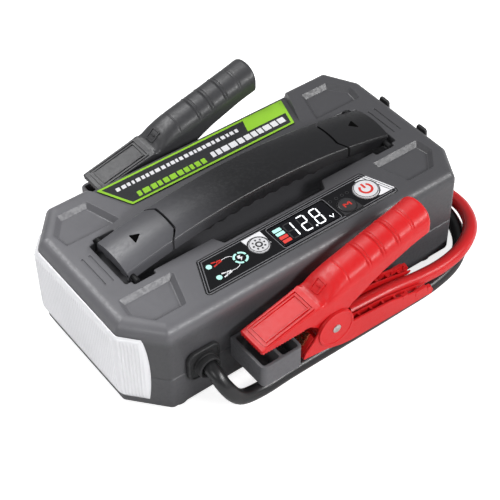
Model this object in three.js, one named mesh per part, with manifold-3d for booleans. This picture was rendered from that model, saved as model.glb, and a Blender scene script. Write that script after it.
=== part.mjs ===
// Jump starter pack: a hard-cased battery with a lamp, a control panel, a rising carry handle
// and two jump clamps parked in holsters along its sides.
// Frame: millimetres, +Z up, origin on the floor under the middle of the case.
// -X is the lamp end, -Y the side of the control panel (near), +Y the side of the label (far).

import * as THREE from 'three';
import { mergeVertices } from 'three/addons/utils/BufferGeometryUtils.js';
import Module from 'manifold-3d';

const wasm = await Module();
wasm.setup();

// ---- driving dimensions ----------------------------------------------------------------------
const GAP = 0.3;                 // clearance between pieces that touch
const PAST = 1;                  // how far a cutter runs past the face it opens

const CASE_LENGTH = 290;
const CASE_WIDTH = 152;
const CASE_BOTTOM = 5;           // underside of the case, above the floor
const CASE_TOP = 81.5;
const PARTING_Z = 35;            // where the two case halves meet
const CASE_WALL = 2.6;
const TOP_WALL = 5.5;
const EDGE_ROUND = 9;            // rounding along the case's top edge
const FOOT_ROUND = 2;            // rounding along the case's bottom edge
const CORNER_Y = 27;             // corner chamfers, measured along the ends
const LAMP_CORNER_X = 23;        // and along the sides, at the lamp end
const PORT_CORNER_X = 15;        // and at the port end

const CHANNEL_HALF_LENGTH = 119; // the channel that the handle lies in
const CHANNEL_CLEARANCE = 4;     // beside the handle, to each side
const CHANNEL_FLOOR = 70;
const FINGER_HALF_LENGTH = 44;   // the wider stretch where fingers reach under the grip
const FINGER_EDGE_Y = -31;

const HANDLE_HALF_WIDTH = 18.5;
const HANDLE_END_X = 115;
const HANDLE_EDGE_Z = 100;       // edge of the arched handle at mid length
const HANDLE_ARCH = 14.5;        // how far the arch falls to the handle's ends
const HANDLE_CROWN = 3.5;        // how far the middle line stands above the edges
const HANDLE_DEPTH = 9;
const LINK_NOSE_X = 72;          // where the end pieces meet the grip, on the middle line
const LINK_NOSE_SLANT = 6;       // how far that joint line runs back at the edges
const LINK_GAP = 1.8;            // open joint between the grip and each end piece
const LINK_HINGE_X = 78;
const LINK_HINGE_Z = 87;
const SLIDE_PIN_X = 111;
const SLIDE_PIN_Z = 81;
const SLIDE_TRAVEL = 10.5;
const PIN_RADIUS = 2;
const PIN_OVERHANG = 2.6;        // how far a slide pin reaches into the channel's side walls

const GLAND_X = -97;
const GLAND_Z = 39;
const GLAND_SIZE = 26;
const COLLAR_RADIUS = 9;
const COLLAR_END = 10;           // collar's end, out from the case side
const CABLE_RADIUS = 5.5;

const HOLSTER_X = [-74, -40];
const HOLSTER_Z = [27, 46];
const HOLSTER_REACH = 37;        // outer wall, out from the case side
const HOLSTER_WALL = 2.5;

const CLAMP_OUT = 21.5;          // middle plane of each parked clamp, out from the case side
const CLAMP_HALF_WIDTH = 15;
const CHEEK = 2.7;               // thickness of the lever's side plates
const PIVOT_X = -10.8;
const PIVOT_Z = 43.2;
const BOSS_RADIUS = 15.5;
const TROUGH_CABLE_Z = 27.5;     // middle of the cable where it enters the clamp's trough
const RIVET_RADIUS = 2.6;
const RIVET_HEAD_RADIUS = 3.5;
const SPRING_RADIUS = 6.5;

const BUTTON_TRAVEL = 1.2;
const PANEL_RECESS = 1.6;
const LABEL_SLOPE_START = 37;
const LABEL_SLOPE_END_Z = 72.5;  // height of the label's slope at the case side

const FOOT_RADIUS = 10;
const SCREW_RADIUS = 1.9;
const SCREW_HEAD_RADIUS = 3.6;

const PORT_HALF_SPAN = 38;
const PORT_Z = [46, 72];
const LUG_Y = 21;                // middle of each port cover's finger lug
const LENS_Z = [8, 72];
const LENS_PROUD = 3;            // how far the lens and the port covers stand proud

const CHANNEL_HALF_WIDTH = HANDLE_HALF_WIDTH + CHANNEL_CLEARANCE;
const CASE_X = CASE_LENGTH / 2;
const CASE_Y = CASE_WIDTH / 2;
const CLAMP_Y = CASE_Y + CLAMP_OUT;
const SLOPE = (CASE_TOP - LABEL_SLOPE_END_Z) / (CASE_Y - LABEL_SLOPE_START);

// ---- materials -------------------------------------------------------------------------------
function paint(color, roughness, metalness = 0) {
  return new THREE.MeshStandardMaterial({ color, roughness, metalness });
}

const M = {
  upper: paint(0x5c5c61, 0.62),
  lower: paint(0x404045, 0.66),
  grip: paint(0x37373b, 0.45),
  black: paint(0x151517, 0.5),
  rubber: paint(0x1d1d1f, 0.8),
  panel: paint(0x101114, 0.25),
  lens: paint(0xe4e6ea, 0.3),
  white: paint(0xe0e0e2, 0.45),
  red: paint(0xd01f22, 0.38),
  grey: paint(0x4b4b4f, 0.45),
  copper: paint(0xb8704c, 0.35, 1),
  steel: paint(0xb9b6b0, 0.3, 1),
  board: paint(0x1e5b36, 0.6),
  cell: paint(0xa9b4bd, 0.4, 0.6),
  label: paint(0x24262a, 0.4),
};

// ---- solid helpers ---------------------------------------------------------------------------
function solid(geometry) {
  const bare = geometry.clone();
  bare.deleteAttribute('normal');
  bare.deleteAttribute('uv');
  const merged = mergeVertices(bare, 1e-4);
  return new wasm.Manifold(new wasm.Mesh({
    numProp: 3,
    vertProperties: new Float32Array(merged.attributes.position.array),
    triVerts: new Uint32Array(merged.index.array),
  }));
}

function join(...pieces) {
  return pieces.reduce((sum, piece) => sum.add(piece));
}

function cut(body, ...cutters) {
  return cutters.reduce((rest, cutter) => rest.subtract(cutter), body);
}

function geometryOf(manifold) {
  const mesh = manifold.getMesh();
  const geometry = new THREE.BufferGeometry();
  geometry.setAttribute('position', new THREE.BufferAttribute(mesh.vertProperties, 3));
  geometry.setIndex(new THREE.BufferAttribute(mesh.triVerts, 1));
  return geometry;
}

function shapeOf(points) {
  return new THREE.Shape(points.map(([x, y]) => new THREE.Vector2(x, y)));
}

function box(x0, x1, y0, y1, z0, z1) {
  const geometry = new THREE.BoxGeometry(x1 - x0, y1 - y0, z1 - z0);
  geometry.translate((x0 + x1) / 2, (y0 + y1) / 2, (z0 + z1) / 2);
  return solid(geometry);
}

// An outline in the XY plane, raised from z0 to z1.
function prismZ(points, z0, z1) {
  const geometry = new THREE.ExtrudeGeometry(shapeOf(points), { depth: z1 - z0, bevelEnabled: false });
  geometry.translate(0, 0, z0);
  return solid(geometry);
}

// An outline given as [x, z], carried from y0 to y1.
function prismY(points, y0, y1) {
  const geometry = new THREE.ExtrudeGeometry(shapeOf(points), { depth: y1 - y0, bevelEnabled: false });
  geometry.rotateX(Math.PI / 2);
  geometry.translate(0, y1, 0);
  return solid(geometry);
}

// An outline given as [y, z], carried from x0 to x1 in a number of steps.
function alongX(points, x0, x1, steps = 1) {
  const options = { depth: x1 - x0, steps, bevelEnabled: false };
  const geometry = new THREE.ExtrudeGeometry(shapeOf(points), options);
  const axes = new THREE.Matrix4().makeBasis(
    new THREE.Vector3(0, 1, 0), new THREE.Vector3(0, 0, 1), new THREE.Vector3(1, 0, 0));
  geometry.applyMatrix4(axes);
  geometry.translate(x0, 0, 0);
  return geometry;
}

function rodZ(x, y, radius, z0, z1, sides = 16) {
  const geometry = new THREE.CylinderGeometry(radius, radius, z1 - z0, sides);
  geometry.rotateX(Math.PI / 2);
  geometry.translate(x, y, (z0 + z1) / 2);
  return solid(geometry);
}

function rodY(x, z, radius, y0, y1, sides = 16) {
  const geometry = new THREE.CylinderGeometry(radius, radius, y1 - y0, sides);
  geometry.translate(x, (y0 + y1) / 2, z);
  return solid(geometry);
}

function rodX(y, z, radius, x0, x1, sides = 16) {
  const geometry = new THREE.CylinderGeometry(radius, radius, x1 - x0, sides);
  geometry.rotateZ(Math.PI / 2);
  geometry.translate((x0 + x1) / 2, y, z);
  return solid(geometry);
}

function mirrorX(points) {
  return points.map(([x, y]) => [-x, y]).reverse();
}

function mirrorY(points) {
  return points.map(([x, y]) => [x, -y]).reverse();
}

// Two ends in rising order, so that a piece can be placed on either side.
function span(a, b) {
  return [Math.min(a, b), Math.max(a, b)];
}

// ---- assembly --------------------------------------------------------------------------------
const pack = new THREE.Group();

function add(name, shape, material) {
  const geometry = shape.isBufferGeometry ? shape : geometryOf(shape);
  const mesh = new THREE.Mesh(geometry, material);
  mesh.name = name;
  pack.add(mesh);
}

// ---- case outline ----------------------------------------------------------------------------
// The case is a rectangle with chamfered corners; an inset moves every edge inwards.
function caseOutline(inset) {
  const x = CASE_X - inset;
  const y = CASE_Y - inset;
  const corner = (legX, legY) => {
    const slant = Math.hypot(legX, legY);
    return [legX - inset + inset * (slant - legX) / legY, legY - inset + inset * (slant - legY) / legX];
  };
  const [lampX, lampY] = corner(LAMP_CORNER_X, CORNER_Y);
  const [portX, portY] = corner(PORT_CORNER_X, CORNER_Y);
  return [
    [-x + lampX, -y], [x - portX, -y], [x, -y + portY], [x, y - portY],
    [x - portX, y], [-x + lampX, y], [-x, y - lampY], [-x, -y + lampY],
  ];
}

// A block over the case outline with both its flat ends rounded off.
function roundedBlock(inset, z0, z1, round) {
  const geometry = new THREE.ExtrudeGeometry(shapeOf(caseOutline(inset)), {
    depth: z1 - z0 - 2 * round,
    bevelThickness: round,
    bevelSize: round,
    bevelOffset: -round,
    bevelSegments: 3,
  });
  geometry.translate(0, 0, z0 + round);
  return solid(geometry);
}

// A strip that follows the lamp end round both chamfers, between two insets.
function lampStrip(outer, inner, z0, z1) {
  const wrapped = (inset) => {
    const outline = caseOutline(inset);
    return [outline[0], outline[7], outline[6], outline[5]];
  };
  const [a, b, c, d] = wrapped(outer);
  const [e, f, g, h] = wrapped(inner);
  const reach = 0.72;
  const part = (from, to) => [from[0] + (to[0] - from[0]) * reach, from[1] + (to[1] - from[1]) * reach];
  return prismZ([part(b, a), b, c, part(c, d), part(g, h), g, f, part(f, e)].reverse(), z0, z1);
}

// ---- placed features that several pieces share -----------------------------------------------
const SCREWS = [-92, 0, 92].flatMap((x) => [[x, -CASE_Y + 11], [x, CASE_Y - 11]]);
const FEET = [[-1, -1], [1, -1], [-1, 1], [1, 1]].map(([sx, sy]) => [sx * (CASE_X - 33), sy * (CASE_Y - 13)]);

const PANEL = [[-83.5, -65], [86, -65], [74, -33.5], [-70, -33.5]];
const LABEL_PLAN = [[-73, 37.5], [71, 37.5], [83, 70], [-86, 70]];
const POCKET = [[88, -32], [131, -32], [133, -46], [121, -61], [97, -61]];

const BUTTONS = [
  { name: 'power_button', x: 66.8, y: -49.5, radius: 9.5, material: M.white },
  { name: 'mode_button', x: 45.8, y: -54, radius: 6.7, material: M.black },
  { name: 'light_button', x: -27, y: -47.5, radius: 7.6, material: M.white },
];
const DISPLAY = { x0: -14, x1: 35, y0: -60, y1: -39 };

function inset(points, distance) {
  const middle = [0, 1].map((axis) => points.reduce((sum, point) => sum + point[axis], 0) / points.length);
  return points.map(([x, y]) => {
    const away = [x - middle[0], y - middle[1]];
    const length = Math.hypot(...away);
    return [x - away[0] / length * distance, y - away[1] / length * distance];
  });
}

const panelFloor = CASE_TOP - PANEL_RECESS;
const panelTop = CASE_TOP - 0.3;

// ---- upper casing ----------------------------------------------------------------------------
function upperCasing() {
  const shell = roundedBlock(0, PARTING_Z - 2 * EDGE_ROUND, CASE_TOP, EDGE_ROUND);
  const tubWall = 3;
  const tub = box(-CHANNEL_HALF_LENGTH - tubWall, CHANNEL_HALF_LENGTH + tubWall,
    -CHANNEL_HALF_WIDTH - 2 * tubWall, CHANNEL_HALF_WIDTH + 2 * tubWall, CHANNEL_FLOOR - tubWall, CASE_TOP);
  const fingerTub = box(-FINGER_HALF_LENGTH - tubWall, FINGER_HALF_LENGTH + tubWall,
    FINGER_EDGE_Y - tubWall, 0, CHANNEL_FLOOR - tubWall, CASE_TOP);
  const labelBack = box(-92, 96, LABEL_SLOPE_START - tubWall, CASE_Y, LABEL_SLOPE_END_Z - TOP_WALL, CASE_TOP);
  const hollow = cut(
    roundedBlock(CASE_WALL, PARTING_Z - 2 * EDGE_ROUND, CASE_TOP - TOP_WALL, EDGE_ROUND - CASE_WALL),
    tub, fingerTub, labelBack,
    ...SCREWS.map(([x, y]) => rodZ(x, y, 5, PARTING_Z - PAST, CASE_TOP, 12)));

  const below = box(-CASE_X - PAST, CASE_X + PAST, -CASE_Y - PAST, CASE_Y + PAST, 0, PARTING_Z);
  const channel = box(-CHANNEL_HALF_LENGTH, CHANNEL_HALF_LENGTH, -CHANNEL_HALF_WIDTH, CHANNEL_HALF_WIDTH,
    CHANNEL_FLOOR, CASE_TOP + PAST);
  const finger = box(-FINGER_HALF_LENGTH, FINGER_HALF_LENGTH, FINGER_EDGE_Y, 0,
    CHANNEL_FLOOR, CASE_TOP + PAST);
  const slotHalf = PIN_RADIUS + 1.4;
  const slotDepth = PIN_OVERHANG + 0.9;
  const slots = [-1, 1].map((side) => box(
    ...span(side * (SLIDE_PIN_X + slotHalf), side * (SLIDE_PIN_X - SLIDE_TRAVEL - slotHalf)),
    -CHANNEL_HALF_WIDTH - slotDepth, CHANNEL_HALF_WIDTH + slotDepth,
    SLIDE_PIN_Z - slotHalf, CASE_TOP + PAST));
  const slopeCut = solid(alongX([
    [LABEL_SLOPE_START, CASE_TOP], [CASE_Y + PAST, CASE_TOP - SLOPE * (CASE_Y + PAST - LABEL_SLOPE_START)],
    [CASE_Y + PAST, CASE_TOP + PAST], [LABEL_SLOPE_START, CASE_TOP + PAST],
  ], -88, 88));
  const corners = [POCKET, mirrorX(POCKET), mirrorY(POCKET), mirrorX(mirrorY(POCKET))];
  const pockets = corners.map((points) => prismZ(points, CASE_TOP - 3, CASE_TOP + PAST));
  const grooves = [-130, -124, 124, 130].map((x) => (
    box(x - 0.8, x + 0.8, -15, 15, CASE_TOP - 0.8, CASE_TOP + PAST)));
  const panel = prismZ(PANEL, panelFloor, CASE_TOP + PAST);
  const wells = BUTTONS.map(({ x, y, radius }) => (
    rodZ(x, y, radius + 0.6, CASE_TOP - 2 * TOP_WALL, CASE_TOP, 24)));
  const window = box(DISPLAY.x0, DISPLAY.x1, DISPLAY.y0, DISPLAY.y1, CASE_TOP - 2 * TOP_WALL, CASE_TOP);
  const ports = box(CASE_X - 2 * CASE_WALL, CASE_X + PAST, -PORT_HALF_SPAN, PORT_HALF_SPAN, ...PORT_Z);
  const bores = SCREWS.map(([x, y]) => rodZ(x, y, SCREW_RADIUS + GAP, PARTING_Z - PAST, 54, 12));
  return cut(shell, below, hollow, channel, finger, ...slots, slopeCut, ...pockets, ...grooves,
    panel, ...wells, window, ports, ...bores, ...sharedOpenings());
}

// Openings that cross the parting line: the lamp's window and the two cable glands.
function sharedOpenings() {
  const neck = COLLAR_RADIUS + 0.5;
  return [
    lampStrip(-LENS_PROUD - PAST, CASE_WALL + 2, LENS_Z[0], LENS_Z[1]),
    rodY(GLAND_X, GLAND_Z, neck, -CASE_Y - PAST, -CASE_Y + 2 * CASE_WALL),
    rodY(GLAND_X, GLAND_Z, neck, CASE_Y - 2 * CASE_WALL, CASE_Y + PAST),
  ];
}

// ---- lower casing ----------------------------------------------------------------------------
function lowerCasing() {
  const top = PARTING_Z - GAP;
  const shell = roundedBlock(0, CASE_BOTTOM, CASE_TOP, FOOT_ROUND);
  const above = box(-CASE_X - PAST, CASE_X + PAST, -CASE_Y - PAST, CASE_Y + PAST, top, CASE_TOP + PAST);
  const posts = SCREWS.map(([x, y]) => rodZ(x, y, 5.5, CASE_BOTTOM, top, 12));
  const hollow = cut(prismZ(caseOutline(CASE_WALL), CASE_BOTTOM + CASE_WALL, CASE_TOP), ...posts);
  const holes = SCREWS.flatMap(([x, y]) => [
    rodZ(x, y, SCREW_RADIUS + GAP, CASE_BOTTOM - PAST, top + PAST, 12),
    rodZ(x, y, SCREW_HEAD_RADIUS + GAP, CASE_BOTTOM - PAST, CASE_BOTTOM + 5, 12),
  ]);
  return cut(shell, above, hollow, ...holes, ...sharedOpenings());
}

add('upper_casing', upperCasing(), M.upper);
add('lower_casing', lowerCasing(), M.lower);

// ---- screws and feet -------------------------------------------------------------------------
SCREWS.forEach(([x, y], index) => {
  const headTop = CASE_BOTTOM + 5 - GAP;
  const head = rodZ(x, y, SCREW_HEAD_RADIUS, headTop - 2.6, headTop, 12);
  const shank = rodZ(x, y, SCREW_RADIUS, headTop - 1, 50, 12);
  add(`casing_screw_${index + 1}`, join(head, shank), M.steel);
});

FEET.forEach(([x, y], index) => {
  add(`foot_${index + 1}`, rodZ(x, y, FOOT_RADIUS, 0, CASE_BOTTOM - GAP, 20), M.rubber);
});

// ---- lamp ------------------------------------------------------------------------------------
add('lamp_lens', lampStrip(-LENS_PROUD, CASE_WALL, LENS_Z[0] + GAP, LENS_Z[1] - GAP), M.lens);

const lampBack = -CASE_X + CASE_WALL;
const reflector = cut(
  box(lampBack + 3, lampBack + 9, -45, 45, 14, 64),
  box(lampBack + 2, lampBack + 6, -42, 42, 17, 61),
  ...[-28, 0, 28].map((y) => rodX(y, 39, 5, lampBack, lampBack + 10, 12)));
add('lamp_reflector', reflector, M.white);
const lampBoard = join(
  box(lampBack + 9.4, lampBack + 11, -45, 45, 14, 64),
  ...[-28, 0, 28].map((y) => rodX(y, 39, 3.5, lampBack + 6.5, lampBack + 10, 12)));
add('lamp_board', lampBoard, M.board);

// ---- control panel ---------------------------------------------------------------------------
const panelPlate = cut(
  prismZ(inset(PANEL, 0.6), panelFloor + GAP, panelTop),
  ...BUTTONS.map(({ x, y, radius }) => rodZ(x, y, radius + 0.4, panelFloor - PAST, CASE_TOP + PAST, 24)),
  box(DISPLAY.x0 - GAP, DISPLAY.x1 + GAP, DISPLAY.y0 - GAP, DISPLAY.y1 + GAP,
    panelFloor - PAST, CASE_TOP + PAST));
add('control_panel', panelPlate, M.panel);

const boardTop = 71.6;
add('display_module', box(DISPLAY.x0 + 0.5, DISPLAY.x1 - 0.5, DISPLAY.y0 + 0.5, DISPLAY.y1 - 0.5,
  boardTop + GAP, panelTop), M.panel);
add('panel_board', box(-84, 86, -59.5, -34.6, boardTop - 1.6, boardTop), M.board);

BUTTONS.forEach(({ name, x, y, radius, material }) => {
  const cap = rodZ(x, y, radius, CASE_TOP - 5, CASE_TOP + 0.7, 24);
  const stem = rodZ(x, y, 2.2, boardTop + BUTTON_TRAVEL + GAP, CASE_TOP - 4, 12);
  add(name, join(cap, stem), material);
});

// ---- label on the far slope ------------------------------------------------------------------
const slopeZ = (y) => CASE_TOP - SLOPE * (y - LABEL_SLOPE_START);
const labelSheet = solid(alongX([
  [LABEL_SLOPE_START, slopeZ(LABEL_SLOPE_START) + GAP], [72, slopeZ(72) + GAP],
  [72, slopeZ(72) + 1], [LABEL_SLOPE_START, slopeZ(LABEL_SLOPE_START) + 1],
], -90, 90));
add('label_plate', labelSheet.intersect(prismZ(LABEL_PLAN, 60, CASE_TOP + 5)), M.label);

// ---- battery, boards and bus bars inside -----------------------------------------------------
const CELL = { length: 62, width: 96, pitch: 65, middle: 2, z0: 14, z1: 56 };
const TRAY_FLOOR = CASE_BOTTOM + CASE_WALL + GAP;
const TRAY_TOP = 24;
const cellSpans = [-1.5, -0.5, 0.5, 1.5].map((place) => {
  const x = CELL.middle + place * CELL.pitch;
  return [x - CELL.length / 2, x + CELL.length / 2];
});
const batteryTray = cut(
  box(cellSpans[0][0] - 3, cellSpans[3][1] + 3, -CELL.width / 2 - 3, CELL.width / 2 + 3,
    TRAY_FLOOR, TRAY_TOP),
  ...cellSpans.map(([x0, x1]) => box(x0 - 0.5, x1 + 0.5, -CELL.width / 2 - 0.5, CELL.width / 2 + 0.5,
    CELL.z0 - GAP, TRAY_TOP + PAST)));
add('battery_tray', batteryTray.intersect(prismZ(caseOutline(CASE_WALL + 2), 0, CASE_TOP)), M.black);
cellSpans.forEach(([x0, x1], index) => {
  add(`battery_cell_${index + 1}`, box(x0, x1, -CELL.width / 2, CELL.width / 2, CELL.z0, CELL.z1), M.cell);
});
const barZ = CELL.z1 + GAP;
[['bus_bar_positive', 1], ['bus_bar_negative', -1]].forEach(([name, side]) => {
  const ends = [cellSpans[0][0] + 20, cellSpans[3][1] - 12];
  add(name, box(...ends, ...span(side * 26, side * 34), barZ, barZ + 1.5), M.copper);
});
add('main_board', box(-80, 112, -22, 22, barZ + 3, barZ + 4.6), M.board);
add('relay', box(30, 58, -14, 14, barZ + 4.9, CHANNEL_FLOOR - 3.4), M.black);

// ---- port end --------------------------------------------------------------------------------
const portFace = CASE_X - 1.2;
const portBay = (y0, y1, z0, z1) => box(portFace - 3.5, portFace + PAST, y0, y1, z0, z1);
const portModule = cut(
  box(CASE_X - 9, portFace, -PORT_HALF_SPAN + GAP, PORT_HALF_SPAN - GAP, PORT_Z[0] + GAP, PORT_Z[1] - GAP),
  portBay(-31, -18, 56, 62), portBay(-14, -5, 57.5, 61), portBay(12, 30, 52, 66));
add('port_module', portModule, M.black);

[['usb_port_cover', -1], ['dc_port_cover', 1]].forEach(([name, side]) => {
  const x0 = CASE_X + GAP;
  const ends = span(side, side * (PORT_HALF_SPAN + 1));
  const flap = box(x0, CASE_X + 2.2, ...ends, PORT_Z[0] - 1, PORT_Z[1] - 3);
  const lugY = side * LUG_Y;
  const lug = box(x0, CASE_X + LENS_PROUD, lugY - 6, lugY + 6, PORT_Z[1] - 6, PORT_Z[1] + 7);
  add(name, join(flap, lug), M.rubber);
});

// ---- cable glands ----------------------------------------------------------------------------
function squircle(cx, cz, size, corner) {
  const points = [];
  const reach = size / 2 - corner;
  for (let quarter = 0; quarter < 4; quarter += 1) {
    const [sx, sz] = [[1, 1], [-1, 1], [-1, -1], [1, -1]][quarter];
    for (let step = 0; step <= 4; step += 1) {
      const angle = (quarter + step / 4) * Math.PI / 2;
      points.push([cx + sx * reach + corner * Math.cos(angle), cz + sz * reach + corner * Math.sin(angle)]);
    }
  }
  return points;
}

// A stretch of Y measured outwards from one side of the case.
function outFromSide(side, from, to) {
  return span(side * (CASE_Y + from), side * (CASE_Y + to));
}

function gland(side) {
  return cut(
    join(
      prismY(squircle(GLAND_X, GLAND_Z, GLAND_SIZE, 6), ...outFromSide(side, GAP, 3.5)),
      rodY(GLAND_X, GLAND_Z, COLLAR_RADIUS, ...outFromSide(side, -5, 1), 20),
      rodY(GLAND_X, GLAND_Z, COLLAR_RADIUS, ...outFromSide(side, 3, COLLAR_END), 20)),
    rodY(GLAND_X, GLAND_Z, CABLE_RADIUS + GAP, ...outFromSide(side, -6, COLLAR_END + PAST), 20));
}
add('near_gland', gland(-1), M.rubber);
add('far_gland', gland(1), M.rubber);

// ---- holsters --------------------------------------------------------------------------------
function holster(side) {
  const [x0, x1] = HOLSTER_X;
  const [z0, z1] = HOLSTER_Z;
  const middle = (x0 + x1) / 2;
  const cell = (from, to) => box(from, to,
    ...outFromSide(side, GAP + HOLSTER_WALL, HOLSTER_REACH - HOLSTER_WALL), z0 + HOLSTER_WALL, z1 + PAST);
  return cut(
    box(x0, x1, ...outFromSide(side, GAP, HOLSTER_REACH), z0, z1),
    cell(x0 + HOLSTER_WALL, middle - HOLSTER_WALL / 2),
    cell(middle + HOLSTER_WALL / 2, x1 - HOLSTER_WALL));
}
add('near_holster', holster(-1), M.lower);
add('far_holster', holster(1), M.lower);

// ---- handle ----------------------------------------------------------------------------------
const arch = (x) => -HANDLE_ARCH * (x / HANDLE_END_X) ** 2;

// A bar along X whose height follows the handle's arch.
function archedBar(section, x0, x1, steps) {
  const geometry = alongX(section, x0, x1, steps);
  const position = geometry.attributes.position;
  for (let index = 0; index < position.count; index += 1) {
    position.setZ(index, position.getZ(index) + arch(position.getX(index)));
  }
  return solid(geometry);
}

function handleSection(halfWidth, edge, crown, bottom) {
  const across = [1, 0.67, 0.33, 0, -0.33, -0.67, -1];
  const top = across.map((share) => [share * halfWidth, edge + crown * (1 - share ** 2)]);
  return [...top, [-halfWidth, bottom], [halfWidth, bottom]];
}

const handleBody = archedBar(
  handleSection(HANDLE_HALF_WIDTH, HANDLE_EDGE_Z, HANDLE_CROWN, HANDLE_EDGE_Z - HANDLE_DEPTH),
  -HANDLE_END_X, HANDLE_END_X, 20);
const handleHollow = archedBar(
  handleSection(HANDLE_HALF_WIDTH - 3, HANDLE_EDGE_Z - 3, HANDLE_CROWN, HANDLE_EDGE_Z - HANDLE_DEPTH - PAST),
  -HANDLE_END_X + 3, HANDLE_END_X - 3, 16);
const handleShell = cut(handleBody, handleHollow);

function noseOutline(setback) {
  const x = LINK_NOSE_X + setback;
  const wide = HANDLE_HALF_WIDTH + PAST;
  return [[x, -12], [x + LINK_NOSE_SLANT, -wide], [HANDLE_END_X + PAST, -wide],
    [HANDLE_END_X + PAST, wide], [x + LINK_NOSE_SLANT, wide], [x, 12]];
}
const linkZone = (side, setback) => {
  const outline = side > 0 ? noseOutline(setback) : mirrorX(noseOutline(setback));
  return prismZ(outline, CHANNEL_FLOOR, 110);
};

const PIN_BORE = PIN_RADIUS + 0.15;
const hingeBores = [-1, 1].map((side) => rodY(side * LINK_HINGE_X, LINK_HINGE_Z, PIN_BORE, -30, 30, 12));

function handleGrip() {
  const tongues = [-1, 1].map((side) => box(
    ...span(side * (LINK_HINGE_X + 4.5), side * (LINK_NOSE_X - 12)), -7, 7,
    LINK_HINGE_Z - 4.5, LINK_HINGE_Z + 3.2));
  const bar = cut(handleShell, linkZone(1, -LINK_GAP), linkZone(-1, -LINK_GAP));
  const ends = [-1, 1].map((side) => box(
    ...span(side * (LINK_NOSE_X - 12), side * (LINK_NOSE_X - 4)),
    -HANDLE_HALF_WIDTH + 2, HANDLE_HALF_WIDTH - 2,
    LINK_HINGE_Z - 4.5, LINK_HINGE_Z + 6));
  return cut(join(bar, ...tongues, ...ends), ...hingeBores);
}
add('handle_grip', handleGrip(), M.grip);

function handleLink(side) {
  const shell = handleShell.intersect(linkZone(side, 0));
  const profile = [
    [74.5, 83], [82, 82], [105, 78], [114, 77.5], [114.5, 84], [105, 87], [90, 91], [76, 92.5],
  ];
  const placed = side > 0 ? profile : mirrorX(profile);
  const cheeks = [-1, 1].map((way) => prismY(placed, ...span(way * 8, way * 12.5)));
  const bridge = box(...span(side * 88, side * 113), -12.5, 12.5, 82, 85);
  const pinBore = rodY(side * SLIDE_PIN_X, SLIDE_PIN_Z, PIN_BORE, -30, 30, 12);
  return cut(join(shell, ...cheeks, bridge), ...hingeBores, pinBore);
}
add('left_link', handleLink(-1), M.grip);
add('right_link', handleLink(1), M.grip);

[['left', -1], ['right', 1]].forEach(([label, side]) => {
  add(`${label}_hinge_pin`, rodY(side * LINK_HINGE_X, LINK_HINGE_Z, PIN_RADIUS, -13.5, 13.5, 12), M.steel);
  add(`${label}_slide_pin`, rodY(side * SLIDE_PIN_X, SLIDE_PIN_Z, PIN_RADIUS,
    -CHANNEL_HALF_WIDTH - PIN_OVERHANG, CHANNEL_HALF_WIDTH + PIN_OVERHANG, 12), M.steel);
});

// ---- clamps ----------------------------------------------------------------------------------
function arcPoints(radius, from, to, steps) {
  return Array.from({ length: steps + 1 }, (_, index) => {
    const angle = THREE.MathUtils.degToRad(from + (to - from) * index / steps);
    return [PIVOT_X + radius * Math.cos(angle), PIVOT_Z + radius * Math.sin(angle)];
  });
}

function rivetBore(y) {
  return rodY(PIVOT_X, PIVOT_Z, RIVET_RADIUS + GAP, y - 20, y + 20, 16);
}

// The lower lever: jaw at -X, round cheeks about the pivot, open cable trough towards +X.
function lowerLever(y) {
  const outline = [
    [-38.6, 28.6], [-17.5, 25.6], [-4.8, 21.3], [5, 19.8], [28, 19.2], [54, 18.6], [80, 18.8], [81, 25],
    [60, 30.5], [39, 35.6], [10, 38.6],
    ...arcPoints(BOSS_RADIUS, -17, 168, 12),
    [-28.5, 43.2], [-36.8, 33.5],
  ];
  const inner = CLAMP_HALF_WIDTH - CHEEK;
  const troughEnd = TROUGH_CABLE_Z - CABLE_RADIUS - GAP;
  const interior = [
    [-22, 30.5], [-15, 28.2], [-3, 24.3], [6, 22.8], [28, 22.2], [50, troughEnd], [52, 10], [90, 10],
    [90, 70], [-34, 70], [-34, 46.5], [-23.5, 42],
  ];
  const jawTrim = [[-45, 24], [-24.5, 24], [-24.5, 49], [-45, 49]];
  const trims = [-1, 1].map((way) => (
    prismY(jawTrim, ...span(y + way * 12.5, y + way * (CLAMP_HALF_WIDTH + PAST)))));
  return cut(
    prismY(outline, y - CLAMP_HALF_WIDTH, y + CLAMP_HALF_WIDTH),
    prismY(interior, y - inner, y + inner),
    ...trims,
    rivetBore(y));
}

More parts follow.
